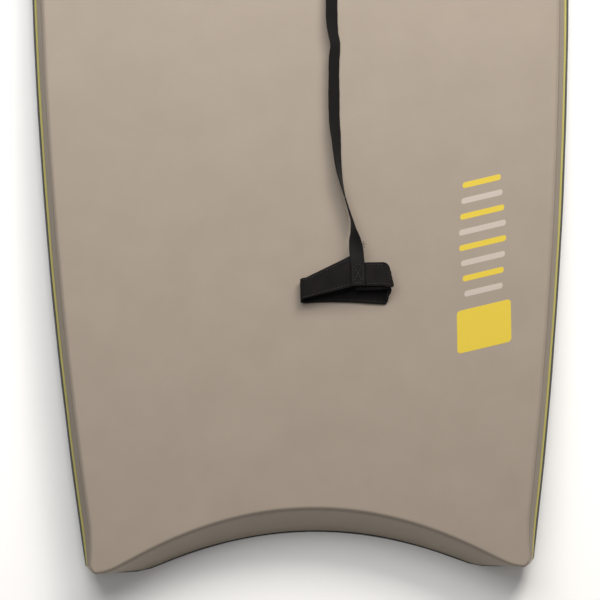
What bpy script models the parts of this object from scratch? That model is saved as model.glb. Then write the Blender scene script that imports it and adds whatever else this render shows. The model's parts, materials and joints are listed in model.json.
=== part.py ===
"""A bodyboard with a crescent tail, a leash plug and a webbing wrist leash, lying on its slick.

Blender 4.5, in metres, +Z up. The nose points to +Y and the tail to -Y. The origin is on the
slick's flat underside, at the middle of the board's length and width.
"""

import math

import bmesh
import bpy
from mathutils import Matrix, Vector

# Plan outline
LENGTH = 1.067
HALF_LENGTH = LENGTH / 2
WIDE_HALF = 0.2795  # half the width at the wide point
WIDE_Y = HALF_LENGTH - 0.368
TAIL_HALF = 0.2317
NOSE_HALF = 0.165
NOSE_POWER = 2.3  # how late the sides turn in towards the nose
TAIL_CORNER = 0.0125
NOSE_CORNER = 0.055
NOSE_END_ANGLE = math.radians(82)  # where the corner's arc meets the long arc across the nose

# Crescent tail: its depth and half-span at the slick and at the deck
CRESCENT_DEPTH = (0.039, 0.0653)
CRESCENT_SPAN = (0.171, 0.210)
CRESCENT_SOFT = 0.11  # rounds the crescent into the two pegs

# Thickness and rails: (height, how far in from the widest line)
THICK = 0.054
RAIL = ((0.0, 0.0075), (0.019, 0.0), (0.024, 0.002), (0.030, 0.0045), (0.050, 0.0108), (0.054, 0.012))
WIDEST_Z, LOWER_TOP_Z, PIN_TOP_Z = (z for z, _ in RAIL[1:4])
GAP = 0.0003  # clearance between touching pieces
SLICK_T = 0.0012
MESH_T = 0.0006
DECK_T = 0.004
STRIP_T = 0.004
SLICK_LIP = 0.0008  # how far the slick stands out past the foot of the tail strip
DECK_ROUND = ((0.0, 0.0), (0.0015, 0.0), (0.0027, 0.0004), (0.0036, 0.0012), (DECK_T, 0.0026))

# Nose rocker
ROCKER_FROM = 0.270
ROCKER_LIFT = 0.030
ROCKER_POWER = 2.2
ROCKER_ROWS = 13

# Layers' heights
MESH_Z = SLICK_T + GAP
CORE_Z = MESH_Z + MESH_T + GAP
DECK_Z = THICK - DECK_T
STRIP_LOW, STRIP_TOP = SLICK_T + GAP, DECK_Z - GAP

# Stringer, a capped tube slid in from the tail
STRINGER_R = 0.005
STRINGER_WALL = 0.001
STRINGER_Z = 0.027
STRINGER_Y = (-0.462, 0.245)
CAP_HEAD = 0.003
CAP_SPIGOT = 0.010

# Leash plug
PLUG_X, PLUG_Y = 0.033, 0.240
PLUG_FLANGE_R = 0.025
PLUG_FLANGE_T = 0.0022
PLUG_SLEEVE_R = 0.016
PLUG_CUP_R = 0.013
PLUG_CUP_FLOOR = 0.0375
PLUG_FLOOR_T = 0.003
PLUG_SOCKET_R = 0.010
PLUG_FOOT_Z = 0.0045
BASE_FLANGE_T = 0.002
COIN_SLOT = (0.022, 0.003, 0.0012)
SPANNER_R, SPANNER_REACH, SPANNER_DEPTH = 0.0015, 0.019, 0.0012
BAR_R = 0.003
BAR_Z = THICK - 0.008
TURN_STEPS = 36

# Leash: the string, the webbing and the folded tab that joins them
STRING_R = 0.0015
KNOT_R = 0.0026
LINK_Y = PLUG_Y - 0.050  # the string's bight, on which the tab hinges
WEB_W = 0.0145
WEB_T = 0.0013
FOLD_TURN = STRING_R + 4 * GAP + WEB_T / 2  # the middle of the tab's webbing round the bight
LINK_Z = THICK + GAP + WEB_T / 2 + FOLD_TURN
TAB_END_Y = 0.146
STRAP_TOP_Y = 0.172  # the strap's sewn end, between the tab's two legs

# The strap's route: x, y, height of what holds it up above the deck, roll in degrees
STRAP_ROUTE = (
    (0.0330, STRAP_TOP_Y, 0.0016, 0),
    (0.0330, 0.158, 0.0016, 0),
    (0.0330, 0.146, 0.0013, 1),
    (0.0329, 0.130, 0.0, 6),
    (0.0326, 0.095, 0.0, 22),
    (0.0321, 0.060, 0.0, 34),
    (0.0319, 0.036, 0.0, 37),
    (0.0331, 0.022, 0.0, 43),
    (0.0350, 0.010, 0.0, 46),
    (0.0335, -0.008, 0.0, 42),
    (0.0329, -0.038, 0.0, 40),
    (0.0329, -0.068, 0.0, 40),
    (0.0343, -0.086, 0.0, 50),
    (0.0356, -0.107, 0.0, 61),
    (0.0371, -0.121, 0.0, 70),
    (0.0395, -0.134, 0.0003, 81),
    (0.0430, -0.149, 0.0008, 90),
    (0.0466, -0.162, 0.0014, 99),
    (0.0490, -0.173, 0.0027, 110),
    (0.0510, -0.185, 0.0054, 128),
    (0.0524, -0.196, 0.0094, 151),
    (0.0535, -0.206, 0.0132, 172),
    (0.0541, -0.2135, 0.0151, 180),
    (0.0545, -0.226, 0.0151, 180),
    (0.0546, -0.2385, 0.0151, 180),
)
STRAP_STEP = 0.0072

# Wrist cuff, a flattened loop of band that closes with a hook-and-loop flap
BAND_W = 0.0282
BAND_T = 0.002
CUFF_TOP_Y, CUFF_LOW_Y = -0.2285, -0.2425  # the middles of its upper and lower layers
CUFF_LEFT_X, CUFF_RIGHT_X = 0.0005, 0.0855  # the centres of its two folds
CUFF_LOW_H, CUFF_IN_H, CUFF_LEFT_H, CUFF_OUT_H = 0.0013, 0.0103, 0.0109, 0.0138
CUFF_INNER_X, CUFF_OUTER_X = 0.052, 0.0622  # the two ends of the band
CUFF_PEAK_X, CUFF_PEAK_Y, CUFF_PEAK_W = 0.0430, -0.2256, 0.0335  # where the outer layer is widest
FOLD_STEPS = 9
PATCH_T = 0.0007
FLAP_T = 0.0012
FLAP_X = (0.0625, 0.091)
FLAP_CORNER = 0.007
LOOP_PATCH_X = (0.054, 0.084)
HOOK_PATCH_X = (0.0645, 0.088)
PATCH_HALF_W = 0.0125
FLAP_HALF_W = 0.0138

TAUPE = (0.45, 0.38, 0.32)
MATERIALS = {
    "eps_foam": ((0.86, 0.86, 0.84), 0.9, 0.0),
    "deck_foam": (TAUPE, 0.6, 0.0),
    "rail_foam": (TAUPE, 0.6, 0.0),
    "pinline_foam": ((0.75, 0.60, 0.06), 0.6, 0.0),
    "black_rail": ((0.02, 0.02, 0.02), 0.5, 0.0),
    "slick": ((0.02, 0.02, 0.022), 0.25, 0.0),
    "mesh_film": ((0.60, 0.62, 0.62), 0.6, 0.0),
    "glassfibre": ((0.10, 0.11, 0.10), 0.4, 0.0),
    "cap_rubber": ((0.05, 0.05, 0.05), 0.8, 0.0),
    "plug_plastic": ((0.015, 0.015, 0.015), 0.35, 0.0),
    "bar_steel": ((0.60, 0.60, 0.60), 0.3, 1.0),
    "string_nylon": ((0.02, 0.02, 0.02), 0.8, 0.0),
    "webbing": ((0.018, 0.017, 0.017), 0.85, 0.0),
    "cuff_fabric": ((0.020, 0.018, 0.018), 0.9, 0.0),
    "hook_tape": ((0.012, 0.012, 0.012), 0.7, 0.0),
}


def start_scene():
    """Empties the scene and makes the collections for the board and for its cutters."""
    for old in list(bpy.data.objects):
        bpy.data.objects.remove(old)
    made = []
    for name in ("bodyboard", "cutters"):
        collection = bpy.data.collections.new(name)
        bpy.context.scene.collection.children.link(collection)
        made.append(collection)
    return made


BOARD, CUTTERS = start_scene()


def material(name):
    """The named Principled material."""
    found = bpy.data.materials.get(name)
    if found:
        return found
    colour, roughness, metallic = MATERIALS[name]
    made = bpy.data.materials.new(name)
    made.use_nodes = True
    shader = made.node_tree.nodes["Principled BSDF"]
    shader.inputs["Base Color"].default_value = (*colour, 1.0)
    shader.inputs["Roughness"].default_value = roughness
    shader.inputs["Metallic"].default_value = metallic
    made.diffuse_color = (*colour, 1.0)
    return made


def add(name, data, finish):
    """An object of the board that shows this mesh or curve in the named material."""
    made = bpy.data.objects.new(name, data)
    made.data.materials.append(material(finish))
    BOARD.objects.link(made)
    return made


def mesh_of(name, bm, smooth=True):
    """A mesh made from the bmesh, with its faces turned out and its flat corners kept sharp."""
    bmesh.ops.recalc_face_normals(bm, faces=bm.faces)
    mesh = bpy.data.meshes.new(name)
    bm.to_mesh(mesh)
    bm.free()
    if smooth:
        mesh.shade_smooth()
        mesh.set_sharp_from_angle(angle=math.radians(35))
    return mesh


def mix(pair, share):
    """The value that far from the first of the pair to the second."""
    return pair[0] + (pair[1] - pair[0]) * share


# The board's outer surface


def half_width(y):
    """Half the board's width at the widest height, from its tail to its nose."""
    if y < WIDE_Y:
        return WIDE_HALF - (WIDE_HALF - TAIL_HALF) * ((WIDE_Y - y) / (WIDE_Y + HALF_LENGTH)) ** 2
    return WIDE_HALF - (WIDE_HALF - NOSE_HALF) * ((y - WIDE_Y) / (HALF_LENGTH - WIDE_Y)) ** NOSE_POWER


def side_angle(y):
    """The direction that the side faces, in radians from +X towards +Y."""
    step = 1e-4
    return math.atan2(half_width(y - step) - half_width(y + step), 2 * step)


def nose_corner(side_end):
    """The corner arc's centre, the long arc's centre height and radius, for a side ending there."""
    angle = side_angle(side_end)
    centre = Vector((half_width(side_end), side_end))
    centre -= NOSE_CORNER * Vector((math.cos(angle), math.sin(angle)))
    meet = centre + NOSE_CORNER * Vector((math.cos(NOSE_END_ANGLE), math.sin(NOSE_END_ANGLE)))
    radius = meet.x / math.cos(NOSE_END_ANGLE)
    return centre, meet.y - radius * math.sin(NOSE_END_ANGLE), radius


def find_side_end():
    """Where the side has to end for the nose to reach the board's full length."""
    low, high = WIDE_Y, HALF_LENGTH
    for _ in range(40):
        middle = (low + high) / 2
        _, centre_y, radius = nose_corner(middle)
        low, high = (middle, high) if centre_y + radius < HALF_LENGTH else (low, middle)
    return low


def spread(first, last, count):
    """count even steps from first to last, both included."""
    return [first + (last - first) * i / (count - 1) for i in range(count)]


def half_outline():
    """The right half's points from the tail's middle to the nose's: x, y, facing, share of crescent."""
    side_start = -HALF_LENGTH + TAIL_CORNER * 0.86
    start_angle = side_angle(side_start)
    corner_x = half_width(side_start) - TAIL_CORNER * math.cos(start_angle)
    corner_y = side_start - TAIL_CORNER * math.sin(start_angle)
    points = [(x, corner_y - TAIL_CORNER, -math.pi / 2, 1.0) for x in spread(0, corner_x, 17)[:-1]]
    for angle in spread(-math.pi / 2, start_angle, 7):
        x, y = corner_x + TAIL_CORNER * math.cos(angle), corner_y + TAIL_CORNER * math.sin(angle)
        points.append((x, y, angle, math.sin(angle) ** 2))
    side_end = find_side_end()
    for y in spread(side_start, WIDE_Y, 13)[1:] + spread(WIDE_Y, side_end, 15)[1:-1]:
        points.append((half_width(y), y, side_angle(y), 0.0))
    centre, end_y, end_r = nose_corner(side_end)
    for angle in spread(side_angle(side_end), NOSE_END_ANGLE, 9):
        x, y = centre.x + NOSE_CORNER * math.cos(angle), centre.y + NOSE_CORNER * math.sin(angle)
        points.append((x, y, angle, 0.0))
    for angle in spread(NOSE_END_ANGLE, math.pi / 2, 7)[1:]:
        points.append((end_r * math.cos(angle), end_y + end_r * math.sin(angle), angle, 0.0))
    return points


OUTLINE = half_outline()
CORNER_TOP_X, _, CORNER_TOP_ANGLE, _ = OUTLINE[22]  # where the tail corner's arc meets the side


def outline_lengths():
    """How far round the half outline each of its points is."""
    lengths = [0.0]
    for (x0, y0, *_), (x1, y1, *_) in zip(OUTLINE, OUTLINE[1:]):
        lengths.append(lengths[-1] + math.hypot(x1 - x0, y1 - y0))
    return lengths


ROUND = outline_lengths()
HALF_ROUND = ROUND[-1]


def rail_inset(z):
    """How far the rail's surface lies in from the widest line at that height."""
    for (low, inset_low), (high, inset_high) in zip(RAIL, RAIL[1:]):
        if z <= high:
            return inset_low + (inset_high - inset_low) * (z - low) / (high - low)
    return RAIL[-1][1]


def crescent(x, z):
    """How far forward of the pegs the tail's face is at that place and height."""
    depth, span = mix(CRESCENT_DEPTH, z / THICK), mix(CRESCENT_SPAN, z / THICK)
    reach = 1 - (x / span) ** 2
    return depth * (reach + math.hypot(reach, CRESCENT_SOFT)) / 2


def rim(along, z, depth=0.0):
    """The point that far round the flat board at height z, that deep inside its outer surface.

    The distance round starts at the tail's middle and goes up the right side.
    """
    if along < 0 or along > HALF_ROUND:
        point = rim(-along if along < 0 else 2 * HALF_ROUND - along, z, depth)
        return Vector((-point.x, point.y, z))
    i = max(k for k, length in enumerate(ROUND[:-1]) if length <= along)
    part = (along - ROUND[i]) / (ROUND[i + 1] - ROUND[i])
    x, y, angle, share = (mix(pair, part) for pair in zip(OUTLINE[i], OUTLINE[i + 1]))
    inset = rail_inset(z)
    x -= (inset + depth) * math.cos(angle)
    y -= inset * max(math.sin(angle), 0.0) + depth * math.sin(angle)
    if angle < CORNER_TOP_ANGLE:
        x = min(x, CORNER_TOP_X - (inset + depth) * math.cos(CORNER_TOP_ANGLE))
    return Vector((x, y + share * crescent(x, z), z))


def rocker(y):
    """How far the nose's rocker lifts the board there."""
    if y <= ROCKER_FROM:
        return 0.0
    return ROCKER_LIFT * ((y - ROCKER_FROM) / (HALF_LENGTH - ROCKER_FROM)) ** ROCKER_POWER


def bend(bm):
    """Lifts the flat shape's points by the rocker."""
    for vert in bm.verts:
        vert.co.z += rocker(vert.co.y)


def places(start, end):
    """The outline's own points between two lengths round it, with both ends."""
    knots = [-length for length in ROUND] + ROUND + [2 * HALF_ROUND - length for length in ROUND]
    return [start, *sorted({k for k in knots if start + 1e-6 < k < end - 1e-6}), end]


def plate(name, levels, finish):
    """A layer that covers the whole board. levels are (height, depth inside the surface), rising."""
    bm = bmesh.new()
    around = places(0.0, 2 * HALF_ROUND)[:-1]
    loops = [[bm.verts.new(rim(along, z, depth)) for along in around] for z, depth in levels]
    for low, high in zip(loops, loops[1:]):
        for i in range(len(around)):
            j = (i + 1) % len(around)
            bm.faces.new((low[i], low[j], high[j]))
            bm.faces.new((low[i], high[j], high[i]))
    bm.faces.new(reversed(loops[0]))
    bm.faces.new(loops[-1])
    for y in spread(ROCKER_FROM, HALF_LENGTH, ROCKER_ROWS + 1)[:-1]:
        geometry = bm.verts[:] + bm.edges[:] + bm.faces[:]
        bmesh.ops.bisect_plane(bm, geom=geometry, dist=1e-6, plane_co=(0, y, 0), plane_no=(0, 1, 0))
    bend(bm)
    bmesh.ops.triangulate(bm, faces=bm.faces)
    return add(name, mesh_of(name, bm), finish)


def strip(name, start, end, heights, finish, lip=0.0):
    """A strip of skin round part of the outline, between the given rising heights.

    Its foot lies in from the surface by lip, and its top lies on it. Its faces are split along the
    same diagonals as a plate's, so that the two lie parallel.
    """
    outer = [(z, lip * (heights[-1] - z) / (heights[-1] - heights[0])) for z in heights]
    inner = [(z, STRIP_T) for z in reversed(heights)]
    bm = bmesh.new()
    rings = [[bm.verts.new(rim(along, z, depth)) for z, depth in outer + inner] for along in places(start, end)]
    for a, b in zip(rings, rings[1:]):
        for i in range(len(a)):
            j = (i + 1) % len(a)
            if j < len(outer):
                bm.faces.new((a[i], b[i], b[j]))
                bm.faces.new((a[i], b[j], a[j]))
            else:
                bm.faces.new((a[i], b[i], a[j]))
                bm.faces.new((b[i], b[j], a[j]))
    for ring in (rings[0], rings[-1]):
        for i in range(len(heights) - 1):
            bm.faces.new((ring[i], ring[i + 1], ring[-2 - i], ring[-1 - i]))
    bend(bm)
    bmesh.ops.triangulate(bm, faces=bm.faces)
    return add(name, mesh_of(name, bm), finish)


# Cutting, turning and round bars


def cut(target, cutter):
    """Takes the cutter out of the target."""
    for collection in cutter.users_collection:
        collection.objects.unlink(cutter)
    CUTTERS.objects.link(cutter)
    cutter.hide_render = True
    cutter.display_type = "WIRE"
    boolean = target.modifiers.new(f"cut_{cutter.name}", "BOOLEAN")
    boolean.operation = "DIFFERENCE"
    boolean.solver = "EXACT"
    boolean.object = cutter


def cylinder(name, radius, start, end, sides=TURN_STEPS):
    """A round bar between two points, not yet part of the board."""
    start, end = Vector(start), Vector(end)
    turn = (end - start).to_track_quat("Z", "Y").to_euler()
    bpy.ops.mesh.primitive_cylinder_add(
        vertices=sides, radius=radius, depth=(end - start).length, location=(start + end) / 2, rotation=turn
    )
    made = bpy.context.object
    made.name = name
    return made


def upright_cutter(name, radius, low, high, x=PLUG_X, y=PLUG_Y):
    """A vertical round cutter."""
    return cylinder(name, radius, (x, y, low), (x, y, high))


def adopt(made, finish):
    """Moves a primitive into the board's collection and gives it its material."""
    for collection in made.users_collection:
        collection.objects.unlink(made)
    BOARD.objects.link(made)
    made.data.materials.append(material(finish))
    made.data.shade_smooth()
    made.data.set_sharp_from_angle(angle=math.radians(35))
    return made


def turned(name, profile, finish, location, rotation=(0, 0, 0), closed=False, steps=TURN_STEPS):
    """A solid turned about Z from a profile of (radius, height) that runs down its outer side."""
    bm = bmesh.new()
    verts = [bm.verts.new((radius, 0, height)) for radius, height in profile]
    for a, b in zip(verts, verts[1:]):
        bm.edges.new((a, b))
    if closed:
        bm.edges.new((verts[-1], verts[0]))
    mesh = bpy.data.meshes.new(name)
    bm.to_mesh(mesh)
    bm.free()
    made = add(name, mesh, finish)
    made.location, made.rotation_euler = location, rotation
    screw = made.modifiers.new("turn", "SCREW")
    screw.steps = screw.render_steps = steps
    screw.use_merge_vertices = True
    screw.merge_threshold = 1e-5
    return made


# The board


def make_layers():
    """The slick, the mesh film, the foam core and the deck skin."""
    inside = STRIP_T + GAP
    slick = plate("slick_skin", ((0.0, 0.0005), (0.0004, 0.0), (SLICK_T, 0.0)), "slick")
    film = plate("mesh_film", ((MESH_Z, inside), (MESH_Z + MESH_T, inside)), "mesh_film")
    knots = (CORE_Z, WIDEST_Z, LOWER_TOP_Z, PIN_TOP_Z, DECK_Z - GAP)
    core = plate("foam_core", [(z, inside) for z in knots], "eps_foam")
    deck = plate("deck_skin", [(DECK_Z + rise, depth) for rise, depth in DECK_ROUND], "deck_foam")
    return slick, film, core, deck


def make_rails():
    """The strips round the edge: three down each side, and one each across the tail and nose."""
    half_gap = GAP / 2
    tail_end = ROUND[21]  # most of the way round the tail corner's arc
    nose_end = ROUND[-14]  # just into the nose corner's arc
    around = 2 * HALF_ROUND
    for name, heights, finish in (
        ("upper_rail", (PIN_TOP_Z + half_gap, STRIP_TOP), "rail_foam"),
        ("pinline", (LOWER_TOP_Z + half_gap, PIN_TOP_Z - half_gap), "pinline_foam"),
        ("lower_rail", (STRIP_LOW, WIDEST_Z, LOWER_TOP_Z - half_gap), "black_rail"),
    ):
        strip(f"right_{name}", tail_end + half_gap, nose_end - half_gap, heights, finish)
        strip(f"left_{name}", around - nose_end + half_gap, around - tail_end - half_gap, heights, finish)
    heights = (STRIP_LOW, WIDEST_Z, LOWER_TOP_Z, PIN_TOP_Z, STRIP_TOP)
    strip("tail_strip", half_gap - tail_end, tail_end - half_gap, heights, "rail_foam", SLICK_LIP)
    strip("nose_strip", nose_end + half_gap, around - nose_end - half_gap, heights, "rail_foam")


def make_stringer(core):
    """The tube and its two caps, in a hole drilled up the core from the tail."""
    rear, front = STRINGER_Y
    hole_r = STRINGER_R + GAP
    hole_end = front + CAP_HEAD + 2 * GAP
    cut(core, cylinder("stringer_hole", hole_r, (0, -HALF_LENGTH, STRINGER_Z), (0, hole_end, STRINGER_Z)))
    bore = STRINGER_R - STRINGER_WALL
    length = front - rear
    wall = ((STRINGER_R, length), (STRINGER_R, 0.0), (bore, 0.0), (bore, length))
    along_board = (-math.pi / 2, 0, 0)
    turned("stringer_tube", wall, "glassfibre", (0, rear, STRINGER_Z), along_board, True, 24)
    spigot = bore - GAP
    cap = ((0, CAP_HEAD), (STRINGER_R, CAP_HEAD), (STRINGER_R, 0), (spigot, 0), (spigot, -CAP_SPIGOT), (0, -CAP_SPIGOT))
    turned("front_stringer_cap", cap, "cap_rubber", (0, front + GAP, STRINGER_Z), along_board, steps=24)
    turned("rear_stringer_cap", cap, "cap_rubber", (0, rear - GAP, STRINGER_Z), (math.pi / 2, 0, 0), steps=24)


def make_plug(slick, film, core, deck):
    """The two halves that screw together through the board, and the steel bar across the cup."""
    clear = PLUG_SLEEVE_R + GAP
    for target in (core, deck):
        cut(target, upright_cutter(f"sleeve_hole_{target.name}", clear, -0.01, THICK + 0.01))
    for target in (slick, film):
        cut(target, upright_cutter(f"flange_hole_{target.name}", PLUG_FLANGE_R + GAP, -0.01, MESH_Z + 0.01))
    seat = THICK + GAP
    top = seat + PLUG_FLANGE_T
    cup = turned(
        "plug_cup",
        (
            (0, PLUG_CUP_FLOOR),
            (PLUG_CUP_R - 0.002, PLUG_CUP_FLOOR),
            (PLUG_CUP_R, PLUG_CUP_FLOOR + 0.002),
            (PLUG_CUP_R, top - 0.0008),
            (PLUG_CUP_R + 0.0008, top),
            (PLUG_FLANGE_R - 0.0020, top),
            (PLUG_FLANGE_R - 0.0007, top - 0.0004),
            (PLUG_FLANGE_R, top - 0.0014),
            (PLUG_FLANGE_R, seat),
            (PLUG_SLEEVE_R, seat),
            (PLUG_SLEEVE_R, PLUG_FOOT_Z),
            (PLUG_SOCKET_R, PLUG_FOOT_Z),
            (PLUG_SOCKET_R, PLUG_CUP_FLOOR - PLUG_FLOOR_T),
            (0, PLUG_CUP_FLOOR - PLUG_FLOOR_T),
        ),
        "plug_plastic",
        (PLUG_X, PLUG_Y, 0),
    )
    reach = PLUG_SLEEVE_R + 0.002
    bore = cylinder("bar_hole", BAR_R + GAP, (PLUG_X - reach, PLUG_Y, BAR_Z), (PLUG_X + reach, PLUG_Y, BAR_Z), 24)
    cut(cup, bore)
    for sign in (-1, 1):
        place = {"x": PLUG_X + sign * SPANNER_REACH, "y": PLUG_Y}
        cut(cup, upright_cutter(f"spanner_hole_{sign + 1}", SPANNER_R, top - SPANNER_DEPTH, top + 0.01, **place))
    half_bar = PLUG_SLEEVE_R - GAP
    bar = cylinder("plug_bar", BAR_R, (PLUG_X - half_bar, PLUG_Y, BAR_Z), (PLUG_X + half_bar, PLUG_Y, BAR_Z), 24)
    adopt(bar, "bar_steel")
    post_r = PLUG_SOCKET_R - GAP
    post_top = PLUG_CUP_FLOOR - PLUG_FLOOR_T - 2 * GAP
    base = turned(
        "plug_base",
        (
            (0, post_top),
            (post_r - 0.001, post_top),
            (post_r, post_top - 0.001),
            (post_r, BASE_FLANGE_T),
            (PLUG_FLANGE_R, BASE_FLANGE_T),
            (PLUG_FLANGE_R, 0.0),
            (0, 0.0),
        ),
        "plug_plastic",
        (PLUG_X, PLUG_Y, 0),
    )
    long, wide, deep = COIN_SLOT
    bpy.ops.mesh.primitive_cube_add(size=1, location=(PLUG_X, PLUG_Y, 0), scale=(long, wide, 2 * deep))
    slot = bpy.context.object
    slot.name = "coin_slot"
    cut(base, slot)


# The leash


def smooth_line(route, step):
    """Points about that far apart on a Catmull-Rom curve through the route's own points."""
    keys = [Vector(p) for p in route]
    keys = [2 * keys[0] - keys[1], *keys, 2 * keys[-1] - keys[-2]]
    line = []
    for p0, p1, p2, p3 in zip(keys, keys[1:], keys[2:], keys[3:]):
        count = max(1, round((p2 - p1).to_3d().length / step))
        for i in range(count):
            t = i / count
            line.append(
                (2 * p1 + (p2 - p0) * t + (2 * p0 - 5 * p1 + 4 * p2 - p3) * t**2 + (3 * p1 - p0 - 3 * p2 + p3) * t**3) / 2
            )
    line.append(keys[-2])
    return line


def poly_curve(name, points, finish, rolls=None, bevel=0.001, extrude=0.0, resolution=2):
    """A tube or ribbon with filled caps on straight runs between the points."""
    curve = bpy.data.curves.new(name, "CURVE")
    curve.dimensions = "3D"
    curve.twist_mode = "Z_UP"
    curve.bevel_depth, curve.extrude, curve.bevel_resolution = bevel, extrude, resolution
    curve.use_fill_caps = True
    spline = curve.splines.new("POLY")
    spline.points.add(len(points) - 1)
    for i, (point, place) in enumerate(zip(spline.points, points)):
        point.co = (*place, 1.0)
        point.tilt = rolls[i] if rolls else 0.0
    return add(name, curve, finish)


def make_string():
    """The string: from its knot round the plug's bar, back through the tab's fold and to the knot."""
    wrap, side = BAR_R + GAP + STRING_R, STRING_R + 2 * GAP
    left, right = PLUG_X - side, PLUG_X + side
    on_flange = THICK + 2 * GAP + PLUG_FLANGE_T + STRING_R
    rim_turn = 0.005
    rim_y, rim_z = PLUG_Y - PLUG_CUP_R - 0.0018, THICK + PLUG_FLANGE_T - 0.0016
    rim_arc = [
        (rim_y + rim_turn * math.cos(a), rim_z + rim_turn * math.sin(a))
        for a in spread(math.radians(90), math.radians(25), 3)
    ]
    wrapped = [
        (mix((left, right), i / 8), PLUG_Y + wrap * math.cos(a), BAR_Z + wrap * math.sin(a))
        for i, a in enumerate(spread(math.radians(208), math.radians(422), 9))
    ]
    turn = 4 * STRING_R
    straight = WEB_W / 2 - 0.0024
    wide = straight + turn
    corner = [
        (straight + turn * math.sin(a), LINK_Y + turn * (1 - math.cos(a))) for a in spread(0, math.pi / 2, 5)
    ]
    knot = Vector((PLUG_X - 0.0068, PLUG_Y - 0.031, THICK + 2 * GAP + KNOT_R))
    clear = KNOT_R + GAP
    route = [
        knot + clear * Vector((0.24, 0.95, 0.15)),
        (left - 0.0026, PLUG_Y - 0.0238, on_flange),
        *[(left, y, z) for y, z in rim_arc],
        *wrapped,
        *[(right, y, z) for y, z in reversed(rim_arc)],
        (right + 0.0030, PLUG_Y - 0.0245, on_flange),
        (PLUG_X + wide - 0.0010, LINK_Y + 0.012, LINK_Z),
        *[(PLUG_X + x, y, LINK_Z) for x, y in reversed(corner)],
        (PLUG_X, LINK_Y, LINK_Z),
        *[(PLUG_X - x, y, LINK_Z) for x, y in corner],
        (PLUG_X - wide + 0.0008, LINK_Y + 0.011, LINK_Z),
        knot + clear * Vector((-0.36, -0.93, 0.05)),
    ]
    poly_curve("leash_string", smooth_line(route, 2 * STRING_R), "string_nylon", bevel=STRING_R)
    bpy.ops.mesh.primitive_uv_sphere_add(segments=16, ring_count=10, radius=KNOT_R, location=knot)
    adopt(bpy.context.object, "string_nylon").name = "string_knot"


def ribbon(name, path, widths, thick, finish):
    """A flat band whose width lies along Y. path holds (x, y, z, nx, nz), the last two its normal."""
    bm = bmesh.new()
    rings = []
    for (x, y, z, nx, nz), width in zip(path, widths):
        corners = ((1, -1), (1, 1), (-1, 1), (-1, -1))
        rings.append(
            [bm.verts.new((x + s * nx * thick / 2, y + e * width / 2, z + s * nz * thick / 2)) for s, e in corners]
        )
    for a, b in zip(rings, rings[1:]):
        for i in range(4):
            j = (i + 1) % 4
            bm.faces.new((a[i], b[i], b[j], a[j]))
    bm.faces.new(rings[0])
    bm.faces.new(reversed(rings[-1]))
    bmesh.ops.triangulate(bm, faces=bm.faces)
    return add(name, mesh_of(name, bm), finish)


def with_normals(points):
    """The points of a path in (x, y, z) with the left-hand normal of its run in X and Z."""
    path = []
    for i, (x, y, z) in enumerate(points):
        x0, _, z0 = points[max(i - 1, 0)]
        x1, _, z1 = points[min(i + 1, len(points) - 1)]
        run = math.hypot(x1 - x0, z1 - z0)
        path.append((x, y, z, (z0 - z1) / run, (x1 - x0) / run))
    return path


def make_tab():
    """The folded webbing tab, hooked round the string's bight and sewn over the strap's end."""
    low, high = THICK + GAP + WEB_T / 2, THICK + GAP + 2.5 * WEB_T + 2 * GAP
    points = [(TAB_END_Y, low), (TAB_END_Y + 0.012, low), (LINK_Y - 0.008, low)]
    points += [
        (LINK_Y + FOLD_TURN * math.cos(a), LINK_Z + FOLD_TURN * math.sin(a)) for a in spread(-math.pi / 2, 1.8, 11)
    ]
    points += [(LINK_Y - 0.0062, LINK_Z + FOLD_TURN - 0.0014), (LINK_Y - 0.0115, high + 0.0010)]
    points += [(STRAP_TOP_Y, high), (TAB_END_Y + 0.012, high), (TAB_END_Y, high)]
    path = with_normals([(y, 0.0, z) for y, z in points])
    tab = ribbon("strap_tab", path, [WEB_W] * len(path), WEB_T, "webbing")
    tab.data.transform(Matrix.Rotation(math.pi / 2, 4, "Z"))
    tab.data.transform(Matrix.Translation((PLUG_X, 0, 0)))
    return tab


def make_strap():
    """The long webbing strap, lying on the deck with half a twist, up on to the cuff."""
    route = [Vector((x, y, held, math.radians(roll))) for x, y, held, roll in STRAP_ROUTE]
    line = smooth_line(route, STRAP_STEP)
    places_on, rolls = [], []
    for x, y, held, roll in line:
        rise = abs(math.sin(roll)) * WEB_W / 2 + abs(math.cos(roll)) * WEB_T / 2
        places_on.append((x, y, THICK + GAP + held + rise))
        rolls.append(roll + math.pi / 2)
    half_flat = (WEB_W - WEB_T) / 2
    poly_curve("leash_strap", places_on, "webbing", rolls, bevel=WEB_T / 2, extrude=half_flat, resolution=1)


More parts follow.
